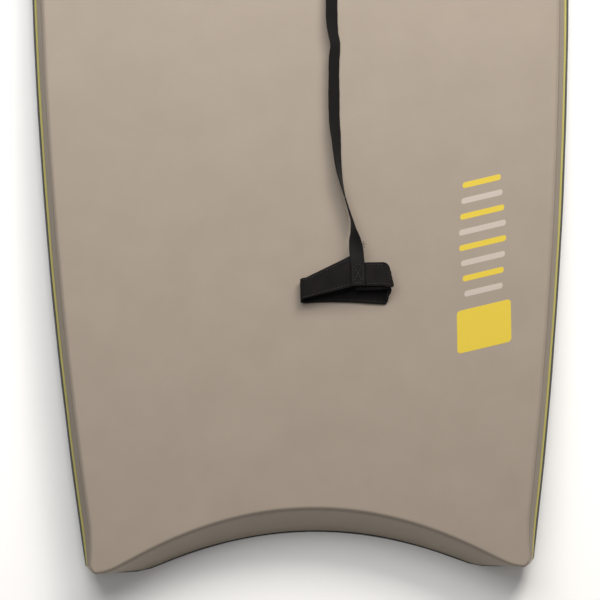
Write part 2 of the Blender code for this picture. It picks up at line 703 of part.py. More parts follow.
def cuff_path():
    """The band's middle and widths: in under the flap, round the right fold, back, round the left and over."""
    top_y, low_y = CUFF_TOP_Y, CUFF_LOW_Y
    points = [(x, top_y, THICK + CUFF_IN_H) for x in spread(CUFF_INNER_X, CUFF_RIGHT_X, 4)[:-1]]
    right_r, right_h = (CUFF_IN_H - CUFF_LOW_H) / 2, (CUFF_IN_H + CUFF_LOW_H) / 2
    for i, angle in enumerate(spread(math.pi / 2, -math.pi / 2, FOLD_STEPS)):
        y = mix((top_y, low_y), i / (FOLD_STEPS - 1))
        points.append((CUFF_RIGHT_X + right_r * math.cos(angle), y, THICK + right_h + right_r * math.sin(angle)))
    points += [(x, low_y, THICK + CUFF_LOW_H) for x in spread(CUFF_RIGHT_X, CUFF_LEFT_X, 6)[1:-1]]
    left_r, left_h = (CUFF_LEFT_H - CUFF_LOW_H) / 2, (CUFF_LEFT_H + CUFF_LOW_H) / 2
    for angle in spread(-math.pi / 2, -3 * math.pi / 2, FOLD_STEPS):
        points.append((CUFF_LEFT_X + left_r * math.cos(angle), low_y, THICK + left_h + left_r * math.sin(angle)))
    widths = [BAND_W] * len(points)
    for share in spread(0, 1, 8)[1:]:
        ease = share * share * (3 - 2 * share)
        x = mix((CUFF_LEFT_X, CUFF_PEAK_X), share)
        points.append((x, mix((low_y, CUFF_PEAK_Y), share), THICK + mix((CUFF_LEFT_H, CUFF_OUT_H), ease)))
        widths.append(mix((BAND_W, CUFF_PEAK_W), share))
    points += [(CUFF_PEAK_X + 0.005, CUFF_PEAK_Y - 0.0008, THICK + CUFF_OUT_H), (CUFF_OUTER_X, top_y, THICK + CUFF_OUT_H)]
    widths += [CUFF_PEAK_W - 0.0012, BAND_W]
    return points, widths


def flat_piece(name, x_pair, half_w, low, thick, corner, finish):
    """A flat patch with rounded corners on its right end, lying level above the deck."""
    curve = bpy.data.curves.new(name, "CURVE")
    curve.dimensions = "2D"
    curve.fill_mode = "BOTH"
    curve.extrude = thick / 2
    left, right = x_pair
    points = [(left, half_w), (left, -half_w)]
    points += [
        (right - corner + corner * math.cos(a), -half_w + corner + corner * math.sin(a))
        for a in spread(-math.pi / 2, 0, 6)
    ]
    points += [
        (right - corner + corner * math.cos(a), half_w - corner + corner * math.sin(a))
        for a in spread(0, math.pi / 2, 6)
    ]
    spline = curve.splines.new("POLY")
    spline.points.add(len(points) - 1)
    for point, (x, y) in zip(spline.points, points):
        point.co = (x, y, 0, 1)
    spline.use_cyclic_u = True
    made = add(name, curve, finish)
    made.location = (0, CUFF_TOP_Y, THICK + low + thick / 2)
    return made


def make_cuff():
    """The band's loop, the loop patch on it, and the flap with its hook patch."""
    points, widths = cuff_path()
    ribbon("cuff_band", with_normals(points), widths, BAND_T, "cuff_fabric")
    patch_low = CUFF_IN_H + BAND_T / 2 + GAP
    hook_low = patch_low + PATCH_T + GAP
    flap_low = hook_low + PATCH_T + GAP
    flat_piece("loop_patch", LOOP_PATCH_X, PATCH_HALF_W, patch_low, PATCH_T, 0.002, "cuff_fabric")
    flat_piece("hook_patch", HOOK_PATCH_X, PATCH_HALF_W, hook_low, PATCH_T, 0.005, "hook_tape")
    flat_piece("cuff_flap", FLAP_X, FLAP_HALF_W, flap_low, FLAP_T, FLAP_CORNER, "cuff_fabric")


def main():
    """Builds the whole board and its leash."""
    slick, film, core, deck = make_layers()
    make_rails()
    make_stringer(core)
    make_plug(slick, film, core, deck)
    make_string()
    make_tab()
    make_strap()
    make_cuff()


main()
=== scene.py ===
"""The looks of a bodyboard with a crescent tail, a leash plug and a webbing wrist leash.

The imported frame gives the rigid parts. The foam skins, the leash and the cuff are rebuilt here as
soft, sewn and woven pieces, and every part gets its own finish. All sizes are in metres.
"""

from __future__ import annotations

import json
import logging
import math
from collections.abc import Callable, Iterable, Sequence
from dataclasses import dataclass
from enum import Enum
from functools import cached_property
from itertools import accumulate

import bmesh
import bpy
from mathutils import Matrix, Vector

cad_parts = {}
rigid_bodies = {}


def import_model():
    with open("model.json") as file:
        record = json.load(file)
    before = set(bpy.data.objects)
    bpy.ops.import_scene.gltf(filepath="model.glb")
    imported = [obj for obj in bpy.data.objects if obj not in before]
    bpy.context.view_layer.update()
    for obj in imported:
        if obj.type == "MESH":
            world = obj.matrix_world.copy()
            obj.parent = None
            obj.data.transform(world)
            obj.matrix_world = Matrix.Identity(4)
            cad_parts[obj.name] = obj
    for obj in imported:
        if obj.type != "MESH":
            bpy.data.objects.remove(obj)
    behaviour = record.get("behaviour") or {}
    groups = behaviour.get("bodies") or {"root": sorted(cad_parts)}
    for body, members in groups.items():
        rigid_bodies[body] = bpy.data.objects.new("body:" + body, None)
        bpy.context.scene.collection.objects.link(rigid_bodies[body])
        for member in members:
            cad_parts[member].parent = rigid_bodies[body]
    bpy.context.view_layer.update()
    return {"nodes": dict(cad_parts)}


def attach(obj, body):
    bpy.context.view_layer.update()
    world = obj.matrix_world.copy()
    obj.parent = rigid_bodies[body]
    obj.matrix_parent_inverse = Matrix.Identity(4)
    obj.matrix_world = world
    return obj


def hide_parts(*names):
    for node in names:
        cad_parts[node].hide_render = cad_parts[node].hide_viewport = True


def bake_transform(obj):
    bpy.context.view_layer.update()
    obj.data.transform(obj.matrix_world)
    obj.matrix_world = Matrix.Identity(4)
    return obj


LOG = logging.getLogger("bodyboard")
MM = 0.001
HAIR = 0.0003  # the clearance that the rigid frame keeps between touching pieces

Colour = tuple[float, float, float, float]
Section = list[tuple[float, float]]


class Body(Enum):
    """The rigid bodies of the frame that pieces ride on."""

    BOARD = "board"
    STRING = "string"
    STRAP = "strap"
    FLAP = "flap"


class Side(Enum):
    """The two sides of the board, seen from above with the nose ahead."""

    RIGHT = "right"
    LEFT = "left"


# Sums and shapes


def linear(hex_colour: str) -> Colour:
    """Turns an sRGB colour into the linear one that shaders use.

    Args:
        hex_colour: Six hex digits after a hash.

    Returns:
        Linear red, green, blue and an alpha of one.
    """
    parts = [int(hex_colour[i : i + 2], 16) / 255 for i in (1, 3, 5)]
    red, green, blue = (c / 12.92 if c <= 0.04045 else ((c + 0.055) / 1.055) ** 2.4 for c in parts)
    return red, green, blue, 1.0


def mix(first: float, last: float, share: float) -> float:
    """The value that far from first to last."""
    return first + (last - first) * share


def ease(share: float) -> float:
    """The share with a soft start and end."""
    return share * share * (3 - 2 * share)


def spread(first: float, last: float, count: int) -> list[float]:
    """Even steps between two values.

    Args:
        first: The first value.
        last: The last value.
        count: How many values there are, both ends included.

    Returns:
        The values in order.
    """
    return [mix(first, last, i / (count - 1)) for i in range(count)]


def smooth_line(route: Sequence[Sequence[float]], step: float) -> list[Vector]:
    """Runs a Catmull-Rom curve through a route.

    Args:
        route: The points to pass through, each a place and whatever else changes along the route.
        step: About how far apart the new points lie.

    Returns:
        The points of the curve, ends included.
    """
    keys = [Vector(p) for p in route]
    keys = [2 * keys[0] - keys[1], *keys, 2 * keys[-1] - keys[-2]]
    line: list[Vector] = []
    for p0, p1, p2, p3 in zip(keys, keys[1:], keys[2:], keys[3:]):
        count = max(1, round((p2 - p1).to_3d().length / step))
        for i in range(count):
            t = i / count
            bend = (2 * p0 - 5 * p1 + 4 * p2 - p3) * t**2 + (3 * p1 - p0 - 3 * p2 + p3) * t**3
            line.append((2 * p1 + (p2 - p0) * t + bend) / 2)
    return [*line, keys[-2]]


def distances(line: Sequence[Vector]) -> list[float]:
    """How far along a line each of its points is."""
    return [0.0, *accumulate((b.to_3d() - a.to_3d()).length for a, b in zip(line, line[1:]))]


def directions(line: Sequence[Vector]) -> list[Vector]:
    """The unit direction of travel at each point of a line."""
    points = [p.to_3d() for p in line]
    return [(b - a).normalized() for a, b in zip([points[0], *points], [*points[1:], points[-1]])]


def skin(bm: bmesh.types.BMesh, rings: Sequence[Sequence[bmesh.types.BMVert]]) -> None:
    """Joins rings of points, all with as many points, into a tube that is closed at both ends."""
    for a, b in zip(rings, rings[1:]):
        for i in range(len(a)):
            bm.faces.new((a[i - 1], a[i], b[i], b[i - 1]))
    bm.faces.new(rings[0])
    bm.faces.new(rings[-1])


def ripple(along: float, waves: Sequence[tuple[float, float, float]]) -> float:
    """A small steady unevenness.

    Args:
        along: The place on the piece.
        waves: Each wave's height, length and start, all in metres.

    Returns:
        The sum of the waves there.
    """
    return sum(height * math.sin(math.tau * (along - start) / long) for height, long, start in waves)


def to_object(name: str, bm: bmesh.types.BMesh, sharp: float = 50.0) -> bpy.types.Object:
    """Makes a smooth-shaded object from a bmesh and frees it.

    Args:
        name: The object's name.
        bm: The finished bmesh.
        sharp: Edges that turn by more degrees than this stay sharp.

    Returns:
        The new object, linked to the scene.
    """
    bmesh.ops.recalc_face_normals(bm, faces=bm.faces)
    mesh = bpy.data.meshes.new(name)
    bm.to_mesh(mesh)
    bm.free()
    mesh.shade_smooth()
    mesh.set_sharp_from_angle(angle=math.radians(sharp))
    made = bpy.data.objects.new(name, mesh)
    bpy.context.scene.collection.objects.link(made)
    return made


def flat_section(width: float, thick: float, round_share: float = 0.9, across: int = 10) -> Section:
    """The section of a flat strip with rounded edges.

    Args:
        width: The strip's width.
        thick: Its thickness.
        round_share: How much of half the thickness the edges' radius takes.
        across: How many parts each face is divided into.

    Returns:
        Points of (across, out) round the section.
    """
    radius = thick / 2 * round_share
    flat, half = width / 2 - radius, thick / 2
    points = [(x, half) for x in spread(-flat, flat, across + 1)]
    points += [(flat + radius * math.sin(a), half - radius + radius * math.cos(a)) for a in (0.6, 1.2)]
    points += [(flat + radius * math.sin(a), radius - half + radius * math.cos(a)) for a in (1.94, 2.54)]
    points += [(x, -half) for x in spread(flat, -flat, across + 1)]
    points += [(-flat - radius * math.sin(a), radius - half + radius * math.cos(a)) for a in (2.54, 1.94)]
    points += [(-flat - radius * math.sin(a), half - radius + radius * math.cos(a)) for a in (1.2, 0.6)]
    return points


def round_section(radius: float, sides: int = 14) -> Section:
    """The section of a round cord, as points of (across, out)."""
    angles = (math.tau * i / sides for i in range(sides))
    return [(radius * math.cos(a), radius * math.sin(a)) for a in angles]


@dataclass(frozen=True)
class Station:
    """One cross-section's place on a swept piece.

    Attributes:
        centre: The middle of the section.
        across: The unit direction of its width.
        out: The unit direction of its thickness.
        section: The section's points there.
    """

    centre: Vector
    across: Vector
    out: Vector
    section: Section


def swept(
    name: str, stations: Sequence[Station], sharp: float = 50.0, closed: bool = False
) -> bpy.types.Object:
    """Sweeps a section along stations, with a UV map in metres for weaves and braids.

    Args:
        name: The object's name.
        stations: The cross-sections in order, all with as many points.
        sharp: Edges that turn by more degrees than this stay sharp.
        closed: Whether the last station joins the first.

    Returns:
        The swept object.
    """
    bm = bmesh.new()
    layer = bm.loops.layers.uv.new("UVMap")
    rings = [[bm.verts.new(s.centre + s.across * a + s.out * o) for a, o in s.section] for s in stations]
    count = len(rings[0])
    girth = distances([v.co for v in (*rings[0], rings[0][0])])
    far = distances([s.centre for s in (*stations, stations[0])])
    last = len(rings) - 1
    pairs = list(zip(range(last), range(1, last + 1))) + [(last, 0)] * closed
    for a, b in pairs:
        for i in range(count):
            j = (i + 1) % count
            face = bm.faces.new((rings[a][i], rings[b][i], rings[b][j], rings[a][j]))
            ends = ((i, a), (i, a + 1), (i + 1, a + 1), (i + 1, a))
            for loop, (u, v) in zip(face.loops, ends):
                loop[layer].uv = (girth[u], far[v])
    if not closed:
        bm.faces.new(rings[0])
        bm.faces.new(rings[-1])
    return to_object(name, bm, sharp)


def rolled_stations(line: Sequence[Vector], section: Callable[[float], Section]) -> list[Station]:
    """Stations for a piece whose route holds its roll.

    Args:
        line: Points of (x, y, z, roll). At no roll the width lies level.
        section: Gives the section at a distance along the route.

    Returns:
        One station for each point.
    """
    stations = []
    for point, run, far in zip(line, directions(line), distances(line)):
        level = run.cross(Vector((0, 0, 1))).normalized()
        up = level.cross(run)
        roll = point[3]
        across = level * math.cos(roll) + up * math.sin(roll)
        stations.append(Station(point.to_3d(), across, across.cross(run), section(far)))
    return stations


def tube_stations(line: Sequence[Vector], radius: float) -> list[Station]:
    """Stations for a round cord, turned as little as possible from one to the next.

    Args:
        line: The cord's middle.
        radius: The cord's radius.

    Returns:
        One station for each point.
    """
    stations: list[Station] = []
    across = Vector((0, 0, 1))
    for point, run in zip(line, directions(line)):
        across = (across - run * across.dot(run)).normalized()
        stations.append(Station(point, across, run.cross(across), round_section(radius)))
    return stations


def bore(obj: bpy.types.Object, start: Vector, end: Vector, radius: float) -> None:
    """Cuts a round hole between two points through an object.

    Args:
        obj: The object to cut.
        start: One end of the hole's axis.
        end: The other end.
        radius: The hole's radius.
    """
    bm = bmesh.new()
    turn = (end - start).to_track_quat("Z", "Y").to_matrix().to_4x4()
    place = Matrix.Translation((start + end) / 2) @ turn
    size = {"radius1": radius, "radius2": radius, "depth": (end - start).length}
    bmesh.ops.create_cone(bm, cap_ends=True, segments=64, matrix=place, **size)
    tool = to_object("bore_tool", bm)
    cut = obj.modifiers.new("bore", "BOOLEAN")
    cut.operation, cut.solver, cut.object = "DIFFERENCE", "EXACT", tool
    bpy.context.view_layer.update()
    mesh = bpy.data.meshes.new_from_object(obj.evaluated_get(bpy.context.evaluated_depsgraph_get()))
    obj.modifiers.clear()
    obj.data = mesh
    mesh.name = obj.name
    mesh.set_sharp_from_angle(angle=math.radians(40))
    bpy.data.objects.remove(tool)


def turned(
    name: str, profile: Sequence[tuple[float, float]], place: tuple[float, float], steps: int = 128
) -> bpy.types.Object:
    """Turns a profile round an upright axis.

    Args:
        name: The object's name.
        profile: Points of (radius, height), from axis to axis.
        place: The axis' place.
        steps: How many parts the turn has.

    Returns:
        The turned object.
    """
    bm = bmesh.new()
    x, y = place
    rings = []
    for radius, z in profile:
        if radius == 0:
            rings.append([bm.verts.new((x, y, z))])
            continue
        angles = [math.tau * i / steps for i in range(steps)]
        rings.append([bm.verts.new((x + radius * math.cos(a), y + radius * math.sin(a), z)) for a in angles])
    for a, b in zip(rings, rings[1:]):
        for i in range(steps):
            j = (i + 1) % steps
            ring = [a[i % len(a)], b[i % len(b)], b[j % len(b)], a[j % len(a)]]
            bm.faces.new(list(dict.fromkeys(ring)))
    return to_object(name, bm, 40)


@dataclass(frozen=True)
class Stitching:
    """A row of sewing: short thread stitches that dip into the cloth between them.

    Attributes:
        length: One stitch's length.
        gap: The space between stitches.
        radius: The thread's radius.
    """

    length: float = 2.6 * MM
    gap: float = 0.9 * MM
    radius: float = 0.32 * MM

    def sew(self, bm: bmesh.types.BMesh, line: Sequence[Vector], up: Callable[[Vector], Vector]) -> None:
        """Adds the stitches along a line.

        Args:
            bm: The bmesh that takes the thread.
            line: Points on the cloth's surface.
            up: Gives the cloth's outward direction at a point.
        """
        fine = smooth_line(line, 0.4 * MM)
        lengths = distances(fine)
        pitch = self.length + self.gap
        count = max(1, int((lengths[-1] + self.gap) / pitch))
        start = (lengths[-1] - count * pitch + self.gap) / 2
        for k in range(count):
            low, high = start + k * pitch, start + k * pitch + self.length
            first = min(range(len(fine)), key=lambda i: abs(lengths[i] - low))
            last = min(range(len(fine)), key=lambda i: abs(lengths[i] - high))
            if last - first >= 2:
                self.one(bm, fine[first], fine[last], up(fine[(first + last) // 2]))

    def one(self, bm: bmesh.types.BMesh, start: Vector, end: Vector, up: Vector) -> None:
        """Adds one stitch, arched a little and sunk at both ends."""
        run = (end - start).normalized()
        side = run.cross(up).normalized()
        rings = []
        for share in spread(0, 1, 6):
            swell = math.sin(math.pi * mix(0.06, 0.94, share))
            centre = start.lerp(end, share) + up * self.radius * (1.15 * swell - 0.75)
            section = round_section(self.radius * mix(0.5, 1, swell), 6)
            rings.append([bm.verts.new(centre + side * a + up * o) for a, o in section])
        skin(bm, rings)


def pillow(
    name: str,
    outline: Callable[[float, float], Vector],
    half: Callable[[float, float], float],
    counts: tuple[int, int],
) -> bpy.types.Object:
    """Makes a closed pad whose two faces meet at its rim, with a UV map in metres.

    Args:
        name: The object's name.
        outline: Gives the pad's middle surface for shares of 0 to 1 along and across.
        half: Gives half the pad's thickness for the same shares.
        counts: How many parts there are along and across.

    Returns:
        The pad.
    """
    bm = bmesh.new()
    layer = bm.loops.layers.uv.new("UVMap")
    nu, nv = counts
    sheets = []
    for sign in (1, -1):
        sheet = {}
        for i in range(nu + 1):
            for j in range(nv + 1):
                rim = i in (0, nu) or j in (0, nv)
                if rim and sheets:
                    sheet[i, j] = sheets[0][i, j]
                    continue
                rise = 0 if rim else sign * half(i / nu, j / nv)
                sheet[i, j] = bm.verts.new(outline(i / nu, j / nv) + Vector((0, 0, rise)))
        sheets.append(sheet)
    for sheet in sheets:
        for i in range(nu):
            for j in range(nv):
                face = bm.faces.new([sheet[k] for k in ((i, j), (i + 1, j), (i + 1, j + 1), (i, j + 1))])
                for loop in face.loops:
                    loop[layer].uv = (loop.vert.co.y, loop.vert.co.x)
    return to_object(name, bm, 80)


# Finishes


def add_node(
    tree: bpy.types.NodeTree, kind: str, inputs: dict[str | int, object] | None = None, **settings: object
) -> bpy.types.Node:
    """Adds one node with its settings and links.

    Args:
        tree: The material's node tree.
        kind: The node's type.
        inputs: For each input, a value, or the socket that it is linked from.
        **settings: The node's own properties.

    Returns:
        The node.
    """
    node = tree.nodes.new(kind)
    for name, value in settings.items():
        setattr(node, name, value)
    for name, value in (inputs or {}).items():
        if isinstance(value, bpy.types.NodeSocket):
            tree.links.new(value, node.inputs[name])
        else:
            node.inputs[name].default_value = value
    return node


def new_finish(
    name: str, roughness: float, ior: float, **fixed: float
) -> tuple[bpy.types.Material, bpy.types.NodeTree, bpy.types.Node]:
    """Starts a material with its even values set on the shader.

    Args:
        name: The material's name.
        roughness: The shader's roughness.
        ior: The material's index of refraction.
        **fixed: More shader inputs, with underscores for spaces.

    Returns:
        The material, its node tree and its Principled shader.
    """
    material = bpy.data.materials.new(name)
    material.use_nodes = True
    shader = material.node_tree.nodes["Principled BSDF"]
    for key, value in {"Roughness": roughness, "IOR": ior, **fixed}.items():
        shader.inputs[key.replace("_", " ")].default_value = value
    return material, material.node_tree, shader


def feed(shader: bpy.types.Node, **sources: bpy.types.NodeSocket) -> None:
    """Links shader inputs, named with underscores for spaces, each from its source."""
    for key, source in sources.items():
        shader.id_data.links.new(source, shader.inputs[key.replace("_", " ")])


def bands(period: float) -> float:
    """The scale at which a Wave texture's bands repeat at this distance."""
    return math.pi / 10 / period


@dataclass(frozen=True)
class ClosedCellFoam:
    """Cross-linked polyethylene foam sheet, skived and heat laminated.

    Its surface is matt with fine cells and slow soft dents, so highlights on it are wide and broken.

    Attributes:
        name: The material's name.
        low: The darker tone of its faint mottling.
        high: The lighter tone.
        roughness: The surface's roughness.
        cell: The cells' size.
        dent: How deep the slow dents go.
    """

    name: str
    low: str
    high: str
    roughness: float = 0.56
    cell: float = 0.9 * MM  # real cells are 0.3 mm across: drawn coarser, so that they show
    dent: float = 0.12 * MM

    def build(self) -> bpy.types.Material:
        """Makes the material."""
        material, tree, shader = new_finish(self.name, self.roughness, 1.49, Specular_IOR_Level=0.42)
        place = add_node(tree, "ShaderNodeTexCoord").outputs["Object"]
        fine = {"Vector": place, "Scale": 1 / self.cell, "Detail": 3.0, "Roughness": 0.6}
        cells = add_node(tree, "ShaderNodeTexNoise", fine).outputs["Fac"]
        broad = {"Vector": place, "Scale": 22.0, "Detail": 5.0, "Roughness": 0.62}
        cloud = add_node(tree, "ShaderNodeTexNoise", broad).outputs["Fac"]
        both = add_node(tree, "ShaderNodeMath", {0: cells, 1: 0.35, 2: cloud}, operation="MULTIPLY_ADD")
        limits = {"Value": both.outputs[0], "From Min": 0.3, "From Max": 1.05}
        share = add_node(tree, "ShaderNodeMapRange", limits).outputs["Result"]
        blend = {0: share, 6: linear(self.low), 7: linear(self.high)}
        tone = add_node(tree, "ShaderNodeMix", blend, data_type="RGBA").outputs[2]
        limits = {"Value": cloud, "To Min": self.roughness - 0.05, "To Max": self.roughness + 0.06}
        rough = add_node(tree, "ShaderNodeMapRange", limits).outputs["Result"]
        slow = add_node(tree, "ShaderNodeTexNoise", {"Vector": place, "Scale": 9.0, "Detail": 2.0})
        relief = {"Height": slow.outputs["Fac"], "Strength": 0.5, "Distance": self.dent}
        dents = add_node(tree, "ShaderNodeBump", relief).outputs["Normal"]
        relief = {"Height": cells, "Strength": 0.5, "Distance": 0.06 * MM, "Normal": dents}
        grain = add_node(tree, "ShaderNodeBump", relief).outputs["Normal"]
        feed(shader, Base_Color=tone, Roughness=rough, Normal=grain)
        return material


@dataclass(frozen=True)
class MouldedPolycarbonate:
    """Injection-moulded polycarbonate with a spark-eroded grain, which gives a satin black with a glint."""

    name: str = "plug_polycarbonate_moulded"

    def build(self) -> bpy.types.Material:
        """Makes the material."""
        material, tree, shader = new_finish(self.name, 0.34, 1.585)
        place = add_node(tree, "ShaderNodeTexCoord").outputs["Object"]
        spark = {"Vector": place, "Scale": 1 / (0.7 * MM), "Detail": 4.0}
        grain = add_node(tree, "ShaderNodeTexNoise", spark).outputs["Fac"]
        rubbed = {"Vector": place, "Scale": 90.0, "Detail": 6.0, "Roughness": 0.7}
        wear = add_node(tree, "ShaderNodeTexNoise", rubbed).outputs["Fac"]
        blend = {0: wear, 6: linear("#141415"), 7: linear("#262627")}
        tone = add_node(tree, "ShaderNodeMix", blend, data_type="RGBA").outputs[2]
        rough = add_node(tree, "ShaderNodeMapRange", {"Value": wear, "To Min": 0.26, "To Max": 0.46})
        relief = {"Height": grain, "Strength": 0.35, "Distance": 0.05 * MM}
        bump = add_node(tree, "ShaderNodeBump", relief).outputs["Normal"]
        feed(shader, Base_Color=tone, Roughness=rough.outputs["Result"], Normal=bump)
        return material


@dataclass(frozen=True)
class DrawnStainless:
    """Cold-drawn stainless steel rod: bright, with fine scratches along its length."""

    name: str = "bar_stainless_drawn"

    def build(self) -> bpy.types.Material:
        """Makes the material."""
        material, tree, shader = new_finish(self.name, 0.28, 1.5, Metallic=1.0)
        place = add_node(tree, "ShaderNodeTexCoord").outputs["Object"]
        scratch = (60.0, 2500.0, 2500.0)
        drawn = add_node(tree, "ShaderNodeMapping", {"Vector": place, "Scale": scratch}).outputs["Vector"]
        lines = add_node(tree, "ShaderNodeTexNoise", {"Vector": drawn, "Scale": 1.0, "Detail": 4.0})
        blend = {0: lines.outputs["Fac"], 6: linear("#A9ABAD"), 7: linear("#C9CACB")}
        tone = add_node(tree, "ShaderNodeMix", blend, data_type="RGBA").outputs[2]
        limits = {"Value": lines.outputs["Fac"], "To Min": 0.2, "To Max": 0.4}
        rough = add_node(tree, "ShaderNodeMapRange", limits).outputs["Result"]
        feed(shader, Base_Color=tone, Roughness=rough)
        return material


@dataclass(frozen=True)
class PolyethyleneSlick:
    """Extruded high-density polyethylene sheet: smooth, waxy and faintly scuffed, with its net showing."""

    name: str = "slick_hdpe_extruded"

    def build(self) -> bpy.types.Material:
        """Makes the material."""
        material, tree, shader = new_finish(self.name, 0.3, 1.54)
        place = add_node(tree, "ShaderNodeTexCoord").outputs["Object"]
        streak = (260.0, 7.0, 40.0)
        long = add_node(tree, "ShaderNodeMapping", {"Vector": place, "Scale": streak}).outputs["Vector"]
        scuffs = add_node(tree, "ShaderNodeTexNoise", {"Vector": long, "Scale": 1.0, "Detail": 8.0})
        mesh = {"Vector": place, "Scale": bands(5 * MM)}
        net_x, net_y = (
            add_node(tree, "ShaderNodeTexWave", mesh, bands_direction=way).outputs["Fac"] for way in "XY"
        )
        net = add_node(tree, "ShaderNodeMath", {0: net_x, 1: net_y}, operation="MAXIMUM").outputs[0]
        lines = add_node(tree, "ShaderNodeMapRange", {"Value": net, "From Min": 0.8, "From Max": 1.0})
        blend = {0: lines.outputs["Result"], 6: linear("#191A1B"), 7: linear("#303335")}
        tone = add_node(tree, "ShaderNodeMix", blend, data_type="RGBA").outputs[2]
        limits = {"Value": scuffs.outputs["Fac"], "To Min": 0.2, "To Max": 0.44}
        rough = add_node(tree, "ShaderNodeMapRange", limits).outputs["Result"]
        bump = add_node(tree, "ShaderNodeBump", {"Height": net, "Strength": 0.15, "Distance": 0.04 * MM})
        feed(shader, Base_Color=tone, Roughness=rough, Normal=bump.outputs["Normal"])
        return material


@dataclass(frozen=True)
class NylonWeave:
    """Flat woven nylon webbing: cross ribs with fine warp threads over them, near black with a dull sheen and
    painted shade between the ribs.

    Attributes:
        name: The material's name.
        low: The colour between the ribs, darker there as painted shade.
        high: The colour on the ribs' tops, lighter than the painted shade between them.
        rib: The distance from rib to rib.
        thread: The distance from warp thread to warp thread.
    """

    name: str = "webbing_nylon_woven"
    low: str = "#060505"
    high: str = "#110E0D"
    rib: float = 1.5 * MM  # real ribs are 1.1 mm apart: a little coarser, so that they show
    thread: float = 1.2 * MM

    def build(self) -> bpy.types.Material:
        """Makes the material."""
        sheen = {"Specular_IOR_Level": 0.16, "Sheen_Weight": 0.03, "Sheen_Roughness": 0.5}
        material, tree, shader = new_finish(self.name, 0.72, 1.53, **sheen)
        place = add_node(tree, "ShaderNodeTexCoord").outputs["UV"]
        across = {"Vector": place, "Scale": bands(self.rib), "Distortion": 0.3}
        ribs = add_node(tree, "ShaderNodeTexWave", across, bands_direction="Y").outputs["Fac"]
        along = {"Vector": place, "Scale": bands(self.thread)}
        warp = add_node(tree, "ShaderNodeTexWave", along, bands_direction="X").outputs["Fac"]
        weave = add_node(tree, "ShaderNodeMath", {0: ribs, 1: warp}, operation="MULTIPLY").outputs[0]
        soft = {"Vector": place, "Scale": 160.0, "Detail": 6.0, "Roughness": 0.7}
        fuzz = add_node(tree, "ShaderNodeTexNoise", soft).outputs["Fac"]
        # the colour follows the weave: painted shade between the ribs and threads, lighter on their tops,
        # broken by random fuzz
        rib_shade_and_fuzz = add_node(tree, "ShaderNodeMath", {0: weave, 1: fuzz}, operation="MULTIPLY").outputs[0]
        share = add_node(tree, "ShaderNodeMapRange", {"Value": rib_shade_and_fuzz, "From Max": 0.5}).outputs["Result"]
        blend = {0: share, 6: linear(self.low), 7: linear(self.high)}
        tone = add_node(tree, "ShaderNodeMix", blend, data_type="RGBA").outputs[2]
        bump = add_node(tree, "ShaderNodeBump", {"Height": weave, "Strength": 0.8, "Distance": 0.16 * MM})
        feed(shader, Base_Color=tone, Normal=bump.outputs["Normal"])
        return material


@dataclass(frozen=True)
class BraidedNylon:
    """Braided nylon cord: crossing strands on a dark matt surface, with painted glints on the strands' crests
    and painted shade between them.
    """

    name: str = "string_nylon_braided"

    def build(self) -> bpy.types.Material:
        """Makes the material."""
        material, tree, shader = new_finish(self.name, 0.58, 1.53, Sheen_Weight=0.15)
        place = add_node(tree, "ShaderNodeTexCoord").outputs["UV"]
        strands = []
        for turn in (0.62, -0.62):
            slanted = add_node(tree, "ShaderNodeMapping", {"Vector": place, "Rotation": (0.0, 0.0, turn)})
            twist = {"Vector": slanted.outputs["Vector"], "Scale": bands(1.15 * MM)}
            strands.append(add_node(tree, "ShaderNodeTexWave", twist, bands_direction="X").outputs["Fac"])
        crossed = dict(enumerate(strands))
        braid = add_node(tree, "ShaderNodeMath", crossed, operation="MULTIPLY").outputs[0]
        # the strands' crests are painted lighter as glints, the grooves between them darker as painted shade
        blend = {0: braid, 6: linear("#0C0B0B"), 7: linear("#2C2827")}
        tone = add_node(tree, "ShaderNodeMix", blend, data_type="RGBA").outputs[2]
        bump = add_node(tree, "ShaderNodeBump", {"Height": braid, "Strength": 0.8, "Distance": 0.2 * MM})
        feed(shader, Base_Color=tone, Normal=bump.outputs["Normal"])
        return material


@dataclass(frozen=True)
class BrushedLoopKnit:
    """Brushed nylon loop knit on foam: a short pile that scatters light, so its edges look soft.

    Attributes:
        name: The material's name.
        low: The colour deep in the pile, darker there as painted shade.
        high: The colour of its tips, lighter than the painted shade deep in the pile.
        pile: The size of the pile's tufts.
    """

    name: str = "cuff_loop_knit"
    low: str = "#070505"
    high: str = "#171312"
    pile: float = 0.8 * MM

    def build(self) -> bpy.types.Material:
        """Makes the material."""
        sheen = {"Specular_IOR_Level": 0.18, "Sheen_Weight": 0.07, "Sheen_Roughness": 0.4}
        material, tree, shader = new_finish(self.name, 0.86, 1.5, **sheen)
        place = add_node(tree, "ShaderNodeTexCoord").outputs["UV"]
        fine = {"Vector": place, "Scale": 1 / self.pile, "Detail": 4.0, "Roughness": 0.65}
        tufts = add_node(tree, "ShaderNodeTexNoise", fine).outputs["Fac"]
        knit = {"Vector": place, "Scale": 1 / (1.3 * MM)}
        loops = add_node(tree, "ShaderNodeTexVoronoi", knit).outputs["Distance"]
        brushed = {"Vector": place, "Scale": 70.0, "Detail": 3.0}
        nap = add_node(tree, "ShaderNodeTexNoise", brushed).outputs["Fac"]
        # the colour is painted shade deep in the pile and lighter on the tufts' tips, varied at random by the
        # brushed nap
        both = add_node(tree, "ShaderNodeMath", {0: tufts, 1: nap}, operation="MULTIPLY").outputs[0]
        share = add_node(tree, "ShaderNodeMapRange", {"Value": both, "From Min": 0.1, "From Max": 0.45})
        blend = {0: share.outputs["Result"], 6: linear(self.low), 7: linear(self.high)}
        tone = add_node(tree, "ShaderNodeMix", blend, data_type="RGBA").outputs[2]
        height = add_node(tree, "ShaderNodeMath", {0: tufts, 1: loops}, operation="SUBTRACT").outputs[0]
        bump = add_node(tree, "ShaderNodeBump", {"Height": height, "Strength": 0.7, "Distance": 0.3 * MM})
        feed(shader, Base_Color=tone, Normal=bump.outputs["Normal"])
        return material


